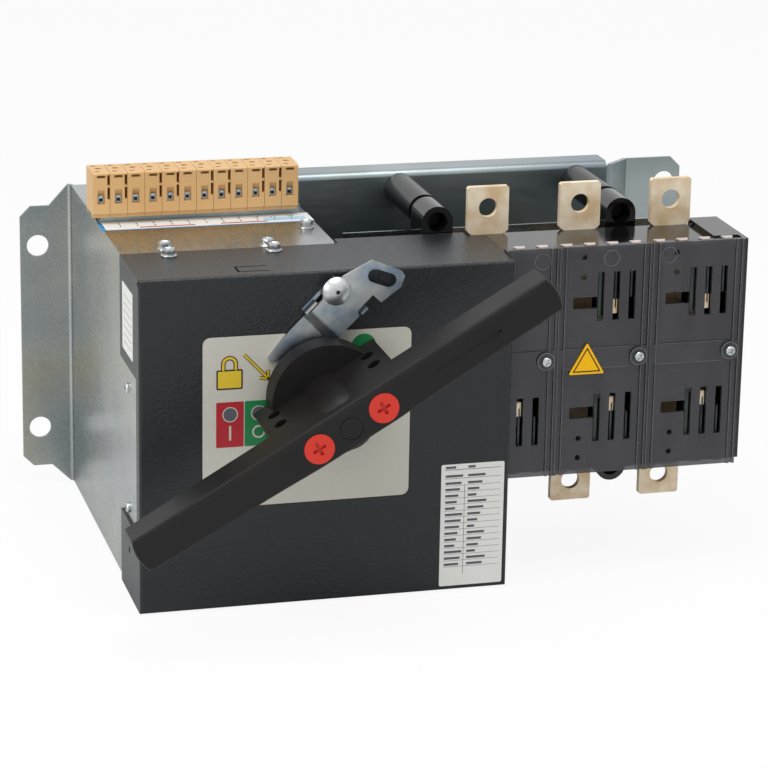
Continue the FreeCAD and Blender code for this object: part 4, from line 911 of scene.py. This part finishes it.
# Painted shade: a dark line where the groove under the bead lies.
groove_shade = block("grip_groove", (pivot.x - 150, grip_y - 0.02, pivot.z + 11.3),
               (pivot.x + 150, grip_y + 0.2, pivot.z + 11.8))
swing(groove_shade, grip_angle, pivot)
settle(groove_shade, black_ink_and_shade, "handle_assembly")
tip_x, near_y, far_y = pivot.x + 112, grip_y - 0.25, grip_y + 0.3
low_z, high_z = pivot.z + 1.2, pivot.z + 2.0
shaft = block("grip_arrow", (tip_x - 50, near_y, low_z), (tip_x, far_y, high_z))
barbs = []
for s in (-1, 1):
    barb = block("barb", (tip_x - 8, near_y, low_z), (tip_x + 0.4, far_y, high_z))
    swing(barb, s * 24, (tip_x, 0, (low_z + high_z) / 2))
    barbs.append(barb)
arrow = joined("grip_arrow", [shaft] + barbs)
swing(arrow, grip_angle, pivot)
settle(arrow, nylon, "handle_assembly")
print("handle marks done")

# %% [markdown]
# ## Floor, world and lights
# The object stands on a pale floor in a white studio. The world is bright white where it is seen
# directly, mirrored or seen through the covers, and softer where it only lights, which keeps metals
# clean and colours as written. Two large lamps, one above and one from the left, shape the forms.

# %% Studio
bottom = cad_box[0][2]
bpy.ops.object.select_all(action="DESELECT")
bpy.ops.mesh.primitive_plane_add(size=12, location=(0.2, 0, bottom - 0.0005))
floor = bpy.context.object
floor.name = "floor"
paper, tree, shader = begin("white studio paper", "#f2f2f2", 0.0, 0.9)
rays = add(tree, "ShaderNodeLightPath", {})
glow = add(tree, "ShaderNodeEmission", {"Color": linear("#ffffff"), "Strength": 1.0})
seen = add(tree, "ShaderNodeMath", {0: rays.outputs["Is Camera Ray"], 1: 0.92}, operation="MULTIPLY")
blend = add(tree, "ShaderNodeMixShader", {0: seen.outputs["Value"], 1: shader.outputs["BSDF"],
                                          2: glow.outputs["Emission"]})
tree.links.new(blend.outputs["Shader"], tree.nodes["Material Output"].inputs["Surface"])
floor.data.materials.append(paper)

world = bpy.data.worlds.new("studio")
bpy.context.scene.world = world
world.use_nodes = True
tree = world.node_tree
tree.nodes.clear()
rays = add(tree, "ShaderNodeLightPath", {})
direct = add(tree, "ShaderNodeMath", {0: rays.outputs["Is Camera Ray"],
                                      1: rays.outputs["Is Glossy Ray"]}, operation="MAXIMUM")
clear = add(tree, "ShaderNodeMath", {0: direct.outputs["Value"],
                                     1: rays.outputs["Is Transmission Ray"]}, operation="MAXIMUM")
soft = add(tree, "ShaderNodeBackground", {"Color": linear("#ffffff"), "Strength": 0.55})
white = add(tree, "ShaderNodeBackground", {"Color": linear("#ffffff"), "Strength": 1.0})
either = add(tree, "ShaderNodeMixShader", {0: clear.outputs["Value"], 1: soft.outputs["Background"],
                                           2: white.outputs["Background"]})
add(tree, "ShaderNodeOutputWorld", {"Surface": either.outputs["Shader"]})


def softbox(name, place, aim, size, power):
    """A large square lamp that looks at a point; places in metres."""
    lamp = bpy.data.lights.new(name, "AREA")
    lamp.shape = "SQUARE"
    lamp.size = size
    lamp.energy = power
    holder = bpy.data.objects.new(name, lamp)
    bpy.context.scene.collection.objects.link(holder)
    holder.location = place
    holder.rotation_euler = (Vector(aim) - Vector(place)).to_track_quat("-Z", "Y").to_euler()


softbox("top lamp", (0.1, -0.6, 1.6), (0.2, -0.15, 0), 1.2, 16)
softbox("left lamp", (-1.6, -1.0, 0.7), (0.1, -0.2, 0), 1.0, 10)
bpy.context.scene.view_settings.view_transform = "Standard"
print("studio ready")

# %% [markdown]
# ## Finish
# The visual model has to stay inside the solid model's box.

# %% Finish
print("scene finished")
